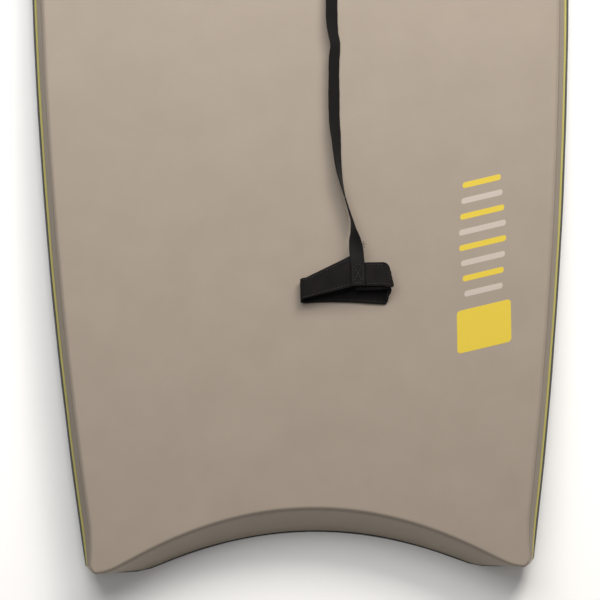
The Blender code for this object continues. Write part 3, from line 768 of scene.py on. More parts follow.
@dataclass(frozen=True)
class HookTape:
    """Moulded nylon hook tape: rows of tiny stiff hooks on a dark ground, their tips lighter as a painted
    highlight.
    """

    name: str = "hook_tape_nylon"

    def build(self) -> bpy.types.Material:
        """Makes the material."""
        material, tree, shader = new_finish(self.name, 0.5, 1.53)
        place = add_node(tree, "ShaderNodeTexCoord").outputs["UV"]
        rows = {"Vector": place, "Scale": 1 / (1.1 * MM), "Randomness": 0.25}
        hooks = add_node(tree, "ShaderNodeTexVoronoi", rows).outputs["Distance"]
        share = add_node(tree, "ShaderNodeMapRange", {"Value": hooks, "To Min": 1.0, "To Max": 0.0})
        height = share.outputs["Result"]
        # the hooks' tips are painted lighter as a highlight, the ground between them darker as painted shade
        blend = {0: height, 6: linear("#0A0A0A"), 7: linear("#343232")}
        tone = add_node(tree, "ShaderNodeMix", blend, data_type="RGBA").outputs[2]
        bump = add_node(tree, "ShaderNodeBump", {"Height": height, "Strength": 1.0, "Distance": 0.5 * MM})
        feed(shader, Base_Color=tone, Normal=bump.outputs["Normal"])
        return material


@dataclass(frozen=True)
class PlainFinish:
    """A finish with one faint mottling: sewing thread, print ink and the parts sealed inside the board.

    Attributes:
        name: The material's name.
        low: The darker tone.
        high: The lighter tone.
        grain: The mottling's size.
        roughness: The surface's roughness.
        ior: The material's index of refraction.
        relief: How far the grain stands up.
    """

    name: str
    low: str
    high: str
    grain: float
    roughness: float
    ior: float = 1.5
    relief: float = 0.03 * MM

    def build(self) -> bpy.types.Material:
        """Makes the material."""
        material, tree, shader = new_finish(self.name, self.roughness, self.ior)
        place = add_node(tree, "ShaderNodeTexCoord").outputs["Object"]
        mottle = {"Vector": place, "Scale": 1 / self.grain, "Detail": 5.0}
        grain = add_node(tree, "ShaderNodeTexNoise", mottle).outputs["Fac"]
        blend = {0: grain, 6: linear(self.low), 7: linear(self.high)}
        tone = add_node(tree, "ShaderNodeMix", blend, data_type="RGBA").outputs[2]
        relief = {"Height": grain, "Strength": 0.5, "Distance": self.relief}
        bump = add_node(tree, "ShaderNodeBump", relief).outputs["Normal"]
        feed(shader, Base_Color=tone, Normal=bump)
        return material


class Finishes:
    """Every finish on the board, each made once."""

    def __init__(self) -> None:
        """Builds the materials."""
        self.deck = ClosedCellFoam("deck_foam_laminated", "#897D70", "#918578").build()
        self.rail = ClosedCellFoam("rail_foam_laminated", "#716352", "#796B5A", roughness=0.5).build()
        self.tail = ClosedCellFoam("tail_foam_laminated", "#978978", "#A09383", roughness=0.5).build()
        self.pinline = ClosedCellFoam("pinline_foam_yellow", "#A2983F", "#AFA54B", roughness=0.5).build()
        self.black_rail = ClosedCellFoam("lower_rail_foam_black", "#171616", "#211F1F", 0.48).build()
        self.slick = PolyethyleneSlick().build()
        self.plug = MouldedPolycarbonate().build()
        self.bar = DrawnStainless().build()
        self.webbing = NylonWeave().build()
        self.string = BraidedNylon().build()
        self.cuff = BrushedLoopKnit().build()
        # loop tape: a finer, fluffier pile than the cuff's, so it looks a little lighter
        self.loops = BrushedLoopKnit("loop_tape_nylon_pile", "#100E0D", "#383330", 0.5 * MM).build()
        self.hooks = HookTape().build()
        # spun polyester thread: round, dull and a shade lighter than the cloth, so stitches stand out
        self.thread = PlainFinish("thread_polyester_spun", "#120F0E", "#24201E", 0.5 * MM, 0.62).build()
        # solvent screen ink: opaque and slightly glossier than the foam under it
        self.yellow_ink = PlainFinish("print_ink_yellow", "#BFA62E", "#CBB23A", 1.2 * MM, 0.42).build()
        self.grey_ink = PlainFinish("print_ink_pale_grey", "#A89C91", "#B3A89E", 1.2 * MM, 0.42).build()
        # expanded polystyrene: fused white beads with a faint sparkle
        bead, high = 4.0 * MM, 0.3 * MM
        self.core = PlainFinish("core_eps_beads", "#DAD8D2", "#F0EFEA", bead, 0.8, relief=high).build()
        # woven glass net in film: pale and slightly glossy
        self.net = PlainFinish("net_film_laminated", "#A9AEAC", "#C6CAC8", 2.5 * MM, 0.4).build()
        # pultruded glassfibre: long streaks in a dark resin
        tube_name = "stringer_glassfibre_pultruded"
        self.tube = PlainFinish(tube_name, "#2A2D29", "#454942", 1.5 * MM, 0.35, 1.55).build()
        # moulded nitrile rubber: dull black
        self.rubber = PlainFinish("cap_rubber_moulded", "#1A1A1A", "#262626", 0.6 * MM, 0.75, 1.52).build()


def dress(obj: bpy.types.Object, material: bpy.types.Material) -> None:
    """Gives an object one material in place of any that it has."""
    obj.data.materials.clear()
    obj.data.materials.append(material)


def settle(
    obj: bpy.types.Object,
    body: Body | None,
    slot: str,
    material: bpy.types.Material,
    replaces: Sequence[str] = (),
) -> bpy.types.Object:
    """Finishes a new piece: its material, what carries it, and what it stands for.

    Args:
        obj: The piece, in place.
        body: The rigid body that carries it, or None for a piece left unattached.
        slot: The record's material slot.
        material: Its finish.
        replaces: The frame's nodes that it stands for.

    Returns:
        The same piece.
    """
    dress(obj, material)
    if body is not None:
        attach(obj, body.value)
    if replaces:
        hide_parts(*replaces)
    LOG.info("%s: %d faces, %s", obj.name, len(obj.data.polygons), slot)
    return obj


# The board


@dataclass(frozen=True)
class OutlinePoint:
    """A point on the board's widest line.

    Attributes:
        x: Its place across the board.
        y: Its place along the board.
        angle: The direction that the edge faces, from +X towards +Y.
        share: How much of the crescent's hollow it takes.
    """

    x: float
    y: float
    angle: float
    share: float


@dataclass(frozen=True)
class BoardShape:
    """The board's outer surface, as distances round its outline, heights and depths under the surface.

    Attributes:
        length: The board's length.
        wide_half: Half its greatest width.
        wide_from_nose: How far the greatest width is from the nose.
        tail_half: Half the tail's width.
        nose_half: Half the nose's width, before its corners are rounded.
        nose_power: How late the sides turn in towards the nose.
        tail_corner: The radius of the tail's corners.
        nose_corner: The radius of the nose's corners.
        nose_end_angle: Where the corners meet the long arc across the nose.
        crescent_depth: The crescent's depth at the slick and at the deck.
        crescent_span: Half its span at the slick and at the deck.
        crescent_soft: Rounds the crescent into the two pegs.
        corner_fade: How far from the tail's corners the chamfer starts to narrow, and its share there.
        tail_parts: How many parts half the tail's edge has.
        corner_parts: How many parts each tail corner's arc has.
        corner_in_strip: How many of those the tail strip covers.
        nose_corner_parts: How many parts each nose corner's arc has.
        nose_parts: How many parts half the long arc across the nose has.
        nose_strip_in: How far round the nose corner's arc the nose strip starts.
        thick: The board's thickness.
        rail: The rail's heights, with how far in from the widest line each lies.
        rocker_from: Where the nose starts to lift.
        rocker_lift: How far the nose is lifted.
        rocker_power: How late it lifts.
    """

    length: float = 1.067
    wide_half: float = 0.2795
    wide_from_nose: float = 0.368
    tail_half: float = 0.2317
    nose_half: float = 0.165
    nose_power: float = 2.3
    tail_corner: float = 0.0125
    nose_corner: float = 0.055
    nose_end_angle: float = math.radians(82)
    crescent_depth: tuple[float, float] = (0.039, 0.0653)
    crescent_span: tuple[float, float] = (0.171, 0.210)
    crescent_soft: float = 0.11
    corner_fade: tuple[float, float] = (0.036, 0.5)
    tail_parts: int = 40
    corner_parts: int = 14
    corner_in_strip: int = 12
    nose_corner_parts: int = 20
    nose_parts: int = 14
    nose_strip_in: float = 0.008
    thick: float = 0.054
    rail: tuple[tuple[float, float], ...] = (
        (0.0, 0.0075),
        (0.019, 0.0),
        (0.024, 0.002),
        (0.030, 0.0045),
        (0.050, 0.0108),
        (0.054, 0.012),
    )
    rocker_from: float = 0.270
    rocker_lift: float = 0.030
    rocker_power: float = 2.2

    @property
    def end(self) -> float:
        """Half the board's length."""
        return self.length / 2

    @property
    def wide_y(self) -> float:
        """Where the board is widest."""
        return self.end - self.wide_from_nose

    def half_width(self, y: float) -> float:
        """Half the board's width at the widest height."""
        if y < self.wide_y:
            share = ((self.wide_y - y) / (self.wide_y + self.end)) ** 2
            return mix(self.wide_half, self.tail_half, share)
        share = ((y - self.wide_y) / (self.end - self.wide_y)) ** self.nose_power
        return mix(self.wide_half, self.nose_half, share)

    def side_angle(self, y: float) -> float:
        """The direction that the side faces, in radians from +X towards +Y."""
        step = 1e-4
        return math.atan2(self.half_width(y - step) - self.half_width(y + step), 2 * step)

    def nose_arcs(self, side_end: float) -> tuple[Vector, float, float]:
        """The arcs that close the nose if the side ends there.

        Args:
            side_end: Where the side ends.

        Returns:
            The corner arc's centre, and the long arc's centre height and radius.
        """
        angle = self.side_angle(side_end)
        centre = Vector((self.half_width(side_end), side_end))
        centre -= self.nose_corner * Vector((math.cos(angle), math.sin(angle)))
        end = self.nose_end_angle
        meet = centre + self.nose_corner * Vector((math.cos(end), math.sin(end)))
        radius = meet.x / math.cos(end)
        return centre, meet.y - radius * math.sin(end), radius

    @cached_property
    def side_end(self) -> float:
        """Where the side has to end for the nose to reach the board's full length."""
        low, high = self.wide_y, self.end
        for _ in range(40):
            middle = (low + high) / 2
            _, centre_y, radius = self.nose_arcs(middle)
            low, high = (middle, high) if centre_y + radius < self.end else (low, middle)
        return low

    @cached_property
    def corner_top(self) -> OutlinePoint:
        """Where the tail corner's arc meets the side."""
        y = self.tail_corner * 0.86 - self.end
        return OutlinePoint(self.half_width(y), y, self.side_angle(y), 0.0)

    @cached_property
    def half_outline(self) -> list[OutlinePoint]:
        """The right half of the outline, from the tail's middle to the nose's."""
        top, radius = self.corner_top, self.tail_corner
        corner_x = top.x - radius * math.cos(top.angle)
        corner_y = top.y - radius * math.sin(top.angle)
        tail = spread(0, corner_x, self.tail_parts + 1)[:-1]
        points = [OutlinePoint(x, corner_y - radius, -math.pi / 2, 1.0) for x in tail]
        for a in spread(-math.pi / 2, top.angle, self.corner_parts + 1):
            x, y = corner_x + radius * math.cos(a), corner_y + radius * math.sin(a)
            points.append(OutlinePoint(x, y, a, math.sin(a) ** 2))
        for y in spread(top.y, self.wide_y, 37)[1:] + spread(self.wide_y, self.side_end, 37)[1:-1]:
            points.append(OutlinePoint(self.half_width(y), y, self.side_angle(y), 0.0))
        centre, end_y, end_r = self.nose_arcs(self.side_end)
        for a in spread(self.side_angle(self.side_end), self.nose_end_angle, self.nose_corner_parts + 1):
            x, y = centre.x + self.nose_corner * math.cos(a), centre.y + self.nose_corner * math.sin(a)
            points.append(OutlinePoint(x, y, a, 0.0))
        for a in spread(self.nose_end_angle, math.pi / 2, self.nose_parts + 1)[1:]:
            points.append(OutlinePoint(end_r * math.cos(a), end_y + end_r * math.sin(a), a, 0.0))
        return points

    @cached_property
    def lengths(self) -> list[float]:
        """How far round the half outline each of its points is."""
        pairs = zip(self.half_outline, self.half_outline[1:])
        return [0.0, *accumulate(math.hypot(b.x - a.x, b.y - a.y) for a, b in pairs)]

    @property
    def half_round(self) -> float:
        """The length of the half outline."""
        return self.lengths[-1]

    @cached_property
    def tail_strip_end(self) -> float:
        """How far round the tail strip reaches, most of the way round the corner's arc."""
        return self.lengths[self.tail_parts + self.corner_in_strip]

    @cached_property
    def nose_strip_end(self) -> float:
        """How far round the nose strip starts, just into the nose corner's arc."""
        corner = len(self.half_outline) - self.nose_parts - self.nose_corner_parts - 1
        return self.lengths[corner] + self.nose_strip_in

    def inset(self, z: float) -> float:
        """How far in from the widest line the rail's surface lies at that height."""
        for (low, inset_low), (high, inset_high) in zip(self.rail, self.rail[1:]):
            if z <= high:
                return mix(inset_low, inset_high, (z - low) / (high - low))
        return self.rail[-1][1]

    def crescent(self, x: float, z: float) -> float:
        """How far forward of the pegs the tail's face is at that place and height."""
        share = z / self.thick
        depth, span = mix(*self.crescent_depth, share), mix(*self.crescent_span, share)
        reach = 1 - (x / span) ** 2
        return depth * (reach + math.hypot(reach, self.crescent_soft)) / 2

    def rim(self, along: float, z: float, depth: float = 0.0) -> Vector:
        """A point on or under the flat board's edge.

        Args:
            along: The distance round from the tail's middle, up the right side.
            z: The height before the rocker.
            depth: How deep inside the surface.

        Returns:
            The point, before the rocker lifts it.
        """
        if along < 0 or along > self.half_round:
            point = self.rim(-along if along < 0 else 2 * self.half_round - along, z, depth)
            return Vector((-point.x, point.y, z))
        i = max(k for k, length in enumerate(self.lengths[:-1]) if length <= along)
        a, b = self.half_outline[i], self.half_outline[i + 1]
        part = (along - self.lengths[i]) / (self.lengths[i + 1] - self.lengths[i])
        x, y = mix(a.x, b.x, part), mix(a.y, b.y, part)
        angle, share = mix(a.angle, b.angle, part), mix(a.share, b.share, part)
        inset = self.inset(z)
        if z > self.rail[1][0]:
            reach, least = self.corner_fade
            near = max(0.0, 1 - abs(along - self.tail_strip_end) / reach)
            inset *= mix(1.0, least, ease(near))
        x -= (inset + depth) * math.cos(angle)
        y -= inset * max(math.sin(angle), 0.0) + depth * math.sin(angle)
        top = self.corner_top
        if angle < top.angle:
            x = min(x, top.x - (inset + depth) * math.cos(top.angle))
        return Vector((x, y + share * self.crescent(x, z), z))

    def rocker(self, y: float) -> float:
        """How far the nose's rocker lifts the board there."""
        if y <= self.rocker_from:
            return 0.0
        share = (y - self.rocker_from) / (self.end - self.rocker_from)
        return self.rocker_lift * share**self.rocker_power

    def bend(self, bm: bmesh.types.BMesh) -> None:
        """Lifts a flat shape's points by the rocker."""
        for vert in bm.verts:
            vert.co.z += self.rocker(vert.co.y)

    def places(self, start: float, end: float) -> list[float]:
        """The outline's own points between two distances round it, with both ends."""
        whole = 2 * self.half_round
        knots = [-k for k in self.lengths] + self.lengths + [whole - k for k in self.lengths]
        return [start, *sorted({round(k, 7) for k in knots if start + 1e-5 < k < end - 1e-5}), end]


@dataclass(frozen=True)
class FoamBody:
    """The deck sheet and the foam strips welded round the board's edge.

    Attributes:
        shape: The board's outer surface.
        finishes: The finishes to dress it in.
        deck_low: The height of the deck sheet's underside.
        weld: Half the width of the fine groove where two foams are welded.
        bead: The radius of the foam's lip beside a weld.
        strip_thick: The strips' thickness.
        foot: The height of the strips' foot.
        slick_lip: How far the slick stands out past the foot of the tail strip.
        edge_wall: How high the sheet's edge stands straight, before it rolls over.
        edge_roll: How far in from the edge the sheet's flat top starts.
        plug_place: The leash plug's place on the deck.
        plug_hole: The radius of the hole for its sleeve.
    """

    shape: BoardShape
    finishes: Finishes
    deck_low: float = 0.050
    weld: float = 0.06 * MM
    bead: float = 0.7 * MM
    strip_thick: float = 0.004
    foot: float = 0.0013
    slick_lip: float = 0.0008
    edge_wall: float = 1.5 * MM
    edge_roll: float = 4.2 * MM
    plug_place: tuple[float, float] = (0.033, 0.240)
    plug_hole: float = 0.0163

    def build(self) -> None:
        """Makes and dresses all the foam that shows."""
        self.deck_sheet()
        shape, finishes = self.shape, self.finishes
        wide, low, pin, top = (shape.rail[i][0] for i in (1, 2, 3, 4))
        tail, nose, whole = shape.tail_strip_end, shape.nose_strip_end, 2 * shape.half_round
        spans = {Side.RIGHT: (tail, nose), Side.LEFT: (whole - nose, whole - tail)}
        for side, span in spans.items():
            name = side.value
            self.strip(f"{name}_upper_rail", span, (pin, top), (), finishes.rail)
            self.strip(f"{name}_pinline", span, (low, pin), (), finishes.pinline, "pinline_foam")
            under = (self.foot, low)
            self.strip(f"{name}_lower_rail", span, under, (wide,), finishes.black_rail, "black_rail")
        turns = (wide, low, pin)
        self.strip("tail_strip", (-tail, tail), (self.foot, top), turns, finishes.tail, lip=self.slick_lip)
        self.strip("nose_strip", (nose, whole - nose), (self.foot, top), turns, finishes.rail)

    def deck_sheet(self) -> None:
        """The laminated sheet over the whole top, with its edge rolled over by the heat of the trim."""
        shape, low = self.shape, self.deck_low
        levels = [(low + self.weld, 3 * MM), (low + self.weld, self.bead), (low + 0.25 * MM, 0.2 * MM)]
        levels += [(low + self.bead, 0.0), (low + self.edge_wall, 0.0)]
        radius = shape.thick - low - self.edge_wall
        for a in spread(0, math.pi / 2, 8)[1:]:
            levels.append((low + self.edge_wall + radius * math.sin(a), 1.05 * radius * (1 - math.cos(a))))
        levels.append((shape.thick, self.edge_roll))
        bm = bmesh.new()
        around = shape.places(0.0, 2 * shape.half_round)[:-1]
        skin(bm, [[bm.verts.new(shape.rim(along, z, depth)) for along in around] for z, depth in levels])
        rows = spread(-0.52, 0.26, 27) + spread(shape.rocker_from, 0.528, 41)
        cuts = [((0, y, 0), (0, 1, 0)) for y in rows]
        cuts += [((x, 0, 0), (1, 0, 0)) for x in spread(-0.25, 0.25, 17)]
        for place, facing in cuts:
            flat = [f for f in bm.faces if abs(f.normal.z) > 0.999 or facing[1]]
            parts = [*flat, *{e for f in flat for e in f.edges}, *{v for f in flat for v in f.verts}]
            bmesh.ops.bisect_plane(bm, geom=parts, dist=1e-6, plane_co=place, plane_no=facing)
            bm.normal_update()
        shape.bend(bm)
        sheet = to_object("deck_foam_sheet", bm, 60)
        middle, reach = Vector((*self.plug_place, low)), Vector((0, 0, 0.02))
        bore(sheet, middle - reach, middle + reach, self.plug_hole)
        settle(sheet, Body.BOARD, "deck_foam", self.finishes.deck, ["deck_skin"])

    def strip(
        self,
        node: str,
        span: tuple[float, float],
        heights: tuple[float, float],
        turns: Sequence[float],
        material: bpy.types.Material,
        slot: str = "rail_foam",
        lip: float = 0.0,
    ) -> None:
        """Makes one strip of foam, with its two long edges rolled over beside their welds.

        Args:
            node: The frame's node that it replaces.
            span: Where the space for it starts and ends round the outline.
            heights: The heights of its foot and top.
            turns: Heights in between at which the rail turns.
            material: Its finish.
            slot: The record's material slot.
            lip: How far in its foot lies.
        """
        low, high = heights[0] + self.weld, heights[1] - self.weld
        bead = min(self.bead, (high - low) / 4)
        outer = [(low, bead), (low + 0.3 * bead, 0.3 * bead), (low + bead, 0.0)]
        outer += [(z, 0.0) for z in turns]
        outer += [(z, 0.0) for z in spread(max(turns, default=low + bead), high - bead, 4)[1:-1]]
        outer += [(high - bead, 0.0), (high - 0.3 * bead, 0.3 * bead), (high, bead)]
        profile = [*outer, (high, self.strip_thick), (low, self.strip_thick)]
        waves = ((0.10 * MM, 0.23, 0.02), (0.07 * MM, 0.091, 0.05))
        bm = bmesh.new()
        rings = []
        for along in self.shape.places(span[0] + self.weld, span[1] - self.weld):
            ring = []
            for z, depth in profile:
                deeper = lip * (high - z) / (high - low) if depth < self.strip_thick else 0.0
                inside = depth + deeper + ripple(along + 3 * z, waves)
                ring.append(bm.verts.new(self.shape.rim(along, z, inside)))
            rings.append(ring)
        skin(bm, rings)
        self.shape.bend(bm)
        settle(to_object(f"{node}_foam", bm, 60), Body.BOARD, slot, material, [node])


@dataclass(frozen=True)
class DeckPrint:
    """A plain printed pattern of slanted bars on the deck's right side.

    Attributes:
        finishes: The finishes to dress it in.
        centre_x: The middle of the bars across the board.
        top_y: The highest bar's middle.
        pitch: The distance from bar to bar.
        rows: How many bars there are.
        bar: A bar's length and width.
        taper: How much shorter each bar is than its neighbour nearer the middle.
        block: How far the block's middle lies below the next bar's place, and its length and width.
        slant: The bars' slope.
        deck: The deck's height.
        film: The ink's thickness.
    """

    finishes: Finishes
    centre_x: float = 0.184
    top_y: float = -0.133
    pitch: float = 0.0160
    rows: int = 8
    bar: tuple[float, float] = (0.050, 0.0060)
    taper: float = 0.06
    block: tuple[float, float, float] = (0.022, 0.056, 0.044)
    slant: float = 0.22
    deck: float = 0.054
    film: float = 0.06 * MM

    def build(self) -> None:
        """Prints the bars in two inks, and a broad yellow block under them."""
        yellow, grey = bmesh.new(), bmesh.new()
        for row in range(self.rows):
            length = self.bar[0] * (1 - self.taper * abs((self.rows - 1) / 2 - row))
            self.lozenge(grey if row % 2 else yellow, self.top_y - row * self.pitch, length, self.bar[1])
        below, length, width = self.block
        self.lozenge(yellow, self.top_y - self.rows * self.pitch - below, length, width)
        for name, bm, ink, slot in (
            ("deck_print_yellow", yellow, self.finishes.yellow_ink, "pinline_foam"),
            ("deck_print_grey", grey, self.finishes.grey_ink, "deck_foam"),
        ):
            settle(to_object(name, bm), Body.BOARD, slot, ink)

    def lozenge(self, bm: bmesh.types.BMesh, y: float, length: float, width: float) -> None:
        """Adds one slanted bar with rounded corners, as a thin film of ink."""
        radius = min(width * 0.4, 4 * MM)
        ring = []
        for sign_x, sign_y, start in ((1, 1, 0), (-1, 1, 90), (-1, -1, 180), (1, -1, 270)):
            for degrees in range(start, start + 91, 15):
                a = math.radians(degrees)
                px = sign_x * (length / 2 - radius) + radius * math.cos(a)
                py = sign_y * (width / 2 - radius) + radius * math.sin(a)
                ring.append((self.centre_x + px, y + py + self.slant * px))
        skin(bm, [[bm.verts.new((x, y, self.deck + z)) for x, y in ring] for z in (0.01 * MM, self.film)])


@dataclass(frozen=True)
class FrameParts:
    """The frame's own nodes that keep their shape and take a better finish.

    Attributes:
        finishes: The finishes to dress them in.
        nodes: The frame's nodes by name.
    """

    finishes: Finishes
    nodes: dict[str, bpy.types.Object]

    def build(self) -> None:
        """Dresses every node that isn't replaced."""
        finishes = self.finishes
        wear = {
            "slick_skin": finishes.slick,
            "plug_base": finishes.plug,
            "plug_bar": finishes.bar,
            "foam_core": finishes.core,
            "mesh_film": finishes.net,
            "stringer_tube": finishes.tube,
            "front_stringer_cap": finishes.rubber,
            "rear_stringer_cap": finishes.rubber,
        }
        for name, material in wear.items():
            node = self.nodes[name]
            dress(node, material)
            node.data.shade_smooth()
            node.data.set_sharp_from_angle(angle=math.radians(35))
            LOG.info("%s: dressed in %s", name, material.name)


@dataclass(frozen=True)
class LeashPlug:
    """The moulded cup that the leash is tied in, with its rolled flange and spanner holes.

    Attributes:
        finishes: The finishes to dress it in.
        place: The plug's place on the deck.
        deck: The deck's height.
        flange: The flange's radius and thickness.
        sleeve: The sleeve's radius and the height of its foot.
        cup: The cup's radius and the height of its floor.
        floor: The floor's thickness.
        socket: The radius of the socket under the floor.
        bar: The bar hole's radius and height.
        spanner: The spanner holes' radius, distance from the middle and depth.
    """

    finishes: Finishes
    place: tuple[float, float] = (0.033, 0.240)
    deck: float = 0.054
    flange: tuple[float, float] = (0.025, 0.0022)
    sleeve: tuple[float, float] = (0.016, 0.0045)
    cup: tuple[float, float] = (0.013, 0.0375)
    floor: float = 0.003
    socket: float = 0.010
    bar: tuple[float, float] = (0.0033, 0.046)
    spanner: tuple[float, float, float] = (0.0015, 0.019, 0.0012)

    def rounded(self, radius: float, height: float, size: float, first: float) -> list[tuple[float, float]]:
        """A quarter round of that size about a point, from the first angle in degrees, turning clockwise."""
        angles = [math.radians(first - 22.5 * i) for i in range(5)]
        return [(radius + size * math.cos(a), height + size * math.sin(a)) for a in angles]

    def build(self) -> None:
        """Makes the cup."""
        seat = self.deck + HAIR
        top = seat + self.flange[1]
        cup_r, cup_z = self.cup
        outer, _ = self.flange
        low = cup_z - self.floor
        profile = [(0.0, cup_z), *reversed(self.rounded(cup_r - 0.002, cup_z + 0.002, 0.002, 0.0))]
        profile += self.rounded(cup_r + 0.0009, top - 0.0009, 0.0009, 180.0)
        profile += self.rounded(outer - 0.0016, top - 0.0016, 0.0016, 90.0)
        profile += [(outer, seat), (self.sleeve[0], seat), (self.sleeve[0], self.sleeve[1])]
        profile += [(self.socket, self.sleeve[1]), (self.socket, low), (0.0, low)]
        cup = turned("plug_cup_moulded", profile, self.place)
        x, y = self.place
        reach = self.sleeve[0] + 0.002
        bar_r, bar_z = self.bar
        bore(cup, Vector((x - reach, y, bar_z)), Vector((x + reach, y, bar_z)), bar_r)
        radius, away, deep = self.spanner
        for sign in (-1, 1):
            hole_x = x + sign * away
            bore(cup, Vector((hole_x, y, top - deep)), Vector((hole_x, y, top + 0.01)), radius)
        settle(cup, Body.BOARD, "plug_plastic", self.finishes.plug, ["plug_cup"])


# The leash


@dataclass(frozen=True)
class PlugString:
    """The braided string that ties the strap to the plug's bar, with its knot.

    Attributes:
        finishes: The finishes to dress it in.
        plug: The plug's place.
        deck: The deck's height.
        radius: The string's radius.
        knot_radius: The knot's outer radius.
        bar_radius: The plug bar's radius.
        bar_z: The bar's height.
        flange: The plug flange's thickness.
        cup_radius: The radius of the plug's cup.
        web_width: The width of the webbing that the string passes through.
        link_y: Where the string's bight lies.
        link_z: The bight's height.
    """

    finishes: Finishes
    plug: tuple[float, float] = (0.033, 0.240)
    deck: float = 0.054
    radius: float = 0.0015
    knot_radius: float = 0.0042
    bar_radius: float = 0.003
    bar_z: float = 0.046
    flange: float = 0.0022
    cup_radius: float = 0.013
    web_width: float = 0.0145
    link_y: float = 0.190
    link_z: float = 0.0583

    @property
    def knot(self) -> Vector:
        """The knot's middle."""
        return Vector((self.plug[0] - 0.0078, self.plug[1] - 0.0325, self.deck + 2 * HAIR + self.knot_radius))

    def route(self) -> list[Vector]:
        """The string's middle: from its knot, round the bar, through the tab and back to the knot."""
        px, py = self.plug
        wrap, side = self.bar_radius + HAIR + self.radius, self.radius + 2 * HAIR
        left, right = px - side, px + side
        on_flange = self.deck + 2 * HAIR + self.flange + self.radius
        rim_y, rim_z, rim_turn = py - self.cup_radius - 0.0018, self.deck + self.flange - 0.0016, 0.005
        rim_arc = [
            (rim_y + rim_turn * math.cos(a), rim_z + rim_turn * math.sin(a))
            for a in spread(math.radians(90), math.radians(25), 3)
        ]
        wrapped = [
            (mix(left, right, i / 8), py + wrap * math.cos(a), self.bar_z + wrap * math.sin(a))
            for i, a in enumerate(spread(math.radians(208), math.radians(422), 9))
        ]
        turn = 4 * self.radius
        straight = self.web_width / 2 - 0.0024
        wide = straight + turn
        corner = [
            (straight + turn * math.sin(a), self.link_y + turn * (1 - math.cos(a)))
            for a in spread(0, math.pi / 2, 5)
        ]
        clear = self.knot_radius + HAIR
        keys = [
            self.knot + clear * Vector((0.12, 0.40, 0.05)),
            self.knot + clear * Vector((0.30, 0.94, 0.10)),
            (left - 0.0026, py - 0.0238, on_flange),
            *[(left, y, z) for y, z in rim_arc],
            *wrapped,
            *[(right, y, z) for y, z in reversed(rim_arc)],
            (right + 0.0030, py - 0.0245, on_flange),
            (px + wide - 0.0010, self.link_y + 0.012, self.link_z),
            *[(px + x, y, self.link_z) for x, y in reversed(corner)],
            (px, self.link_y, self.link_z),
            *[(px - x, y, self.link_z) for x, y in corner],
            self.knot + clear * Vector((-0.30, -0.95, -0.05)),
            self.knot + clear * Vector((-0.12, -0.40, -0.05)),
        ]
        return smooth_line([tuple(k) for k in keys], 0.9 * MM)

    def build(self) -> None:
        """Makes the string and its knot."""
        line = self.route()
        string = swept("plug_string_braided", tube_stations(line, self.radius))
        settle(string, Body.STRING, "string_nylon", self.finishes.string, ["leash_string"])
        knot = settle(self.tied_knot(), Body.STRING, "string_nylon", self.finishes.string, ["string_knot"])
        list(self.tails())

    def tails(self) -> list[bpy.types.Object]:
        """The string's two short ends beyond the knot."""
        made = []
        for number, end in enumerate(((-0.0085, 0.0042, -0.0012), (-0.0094, -0.0016, -0.0016)), 1):
            out = Vector(end)
            line = [self.knot + out * 0.3, self.knot + out * 0.65 + Vector((0, 0, 0.0007)), self.knot + out]
            tail = swept(f"string_tail_{number}", tube_stations(smooth_line(line, 0.8 * MM), self.radius))
            made.append(settle(tail, Body.STRING, "string_nylon", self.finishes.string))
        return made

    def tied_knot(self) -> bpy.types.Object:
        """The pulled-tight overhand knot that joins the string's two ends."""
        scale, count = (self.knot_radius - 0.9 * self.radius) / 3, 72
        points = []
        for t in (math.tau * i / count for i in range(count)):
            x, y = math.sin(t) + 2 * math.sin(2 * t), math.cos(t) - 2 * math.cos(2 * t)
            wound = Vector((x, y, -1.25 * math.sin(3 * t)))
            points.append(self.knot + Matrix.Rotation(0.5, 3, "Z") @ (wound * scale))
        stations = []
        across = Vector((0, 0, 1))
        for i, point in enumerate(points):
            run = (points[(i + 1) % count] - points[i - 1]).normalized()
            across = (across - run * across.dot(run)).normalized()
            stations.append(Station(point, across, run.cross(across), round_section(0.95 * self.radius)))
        return swept("string_knot_tied", stations, closed=True)


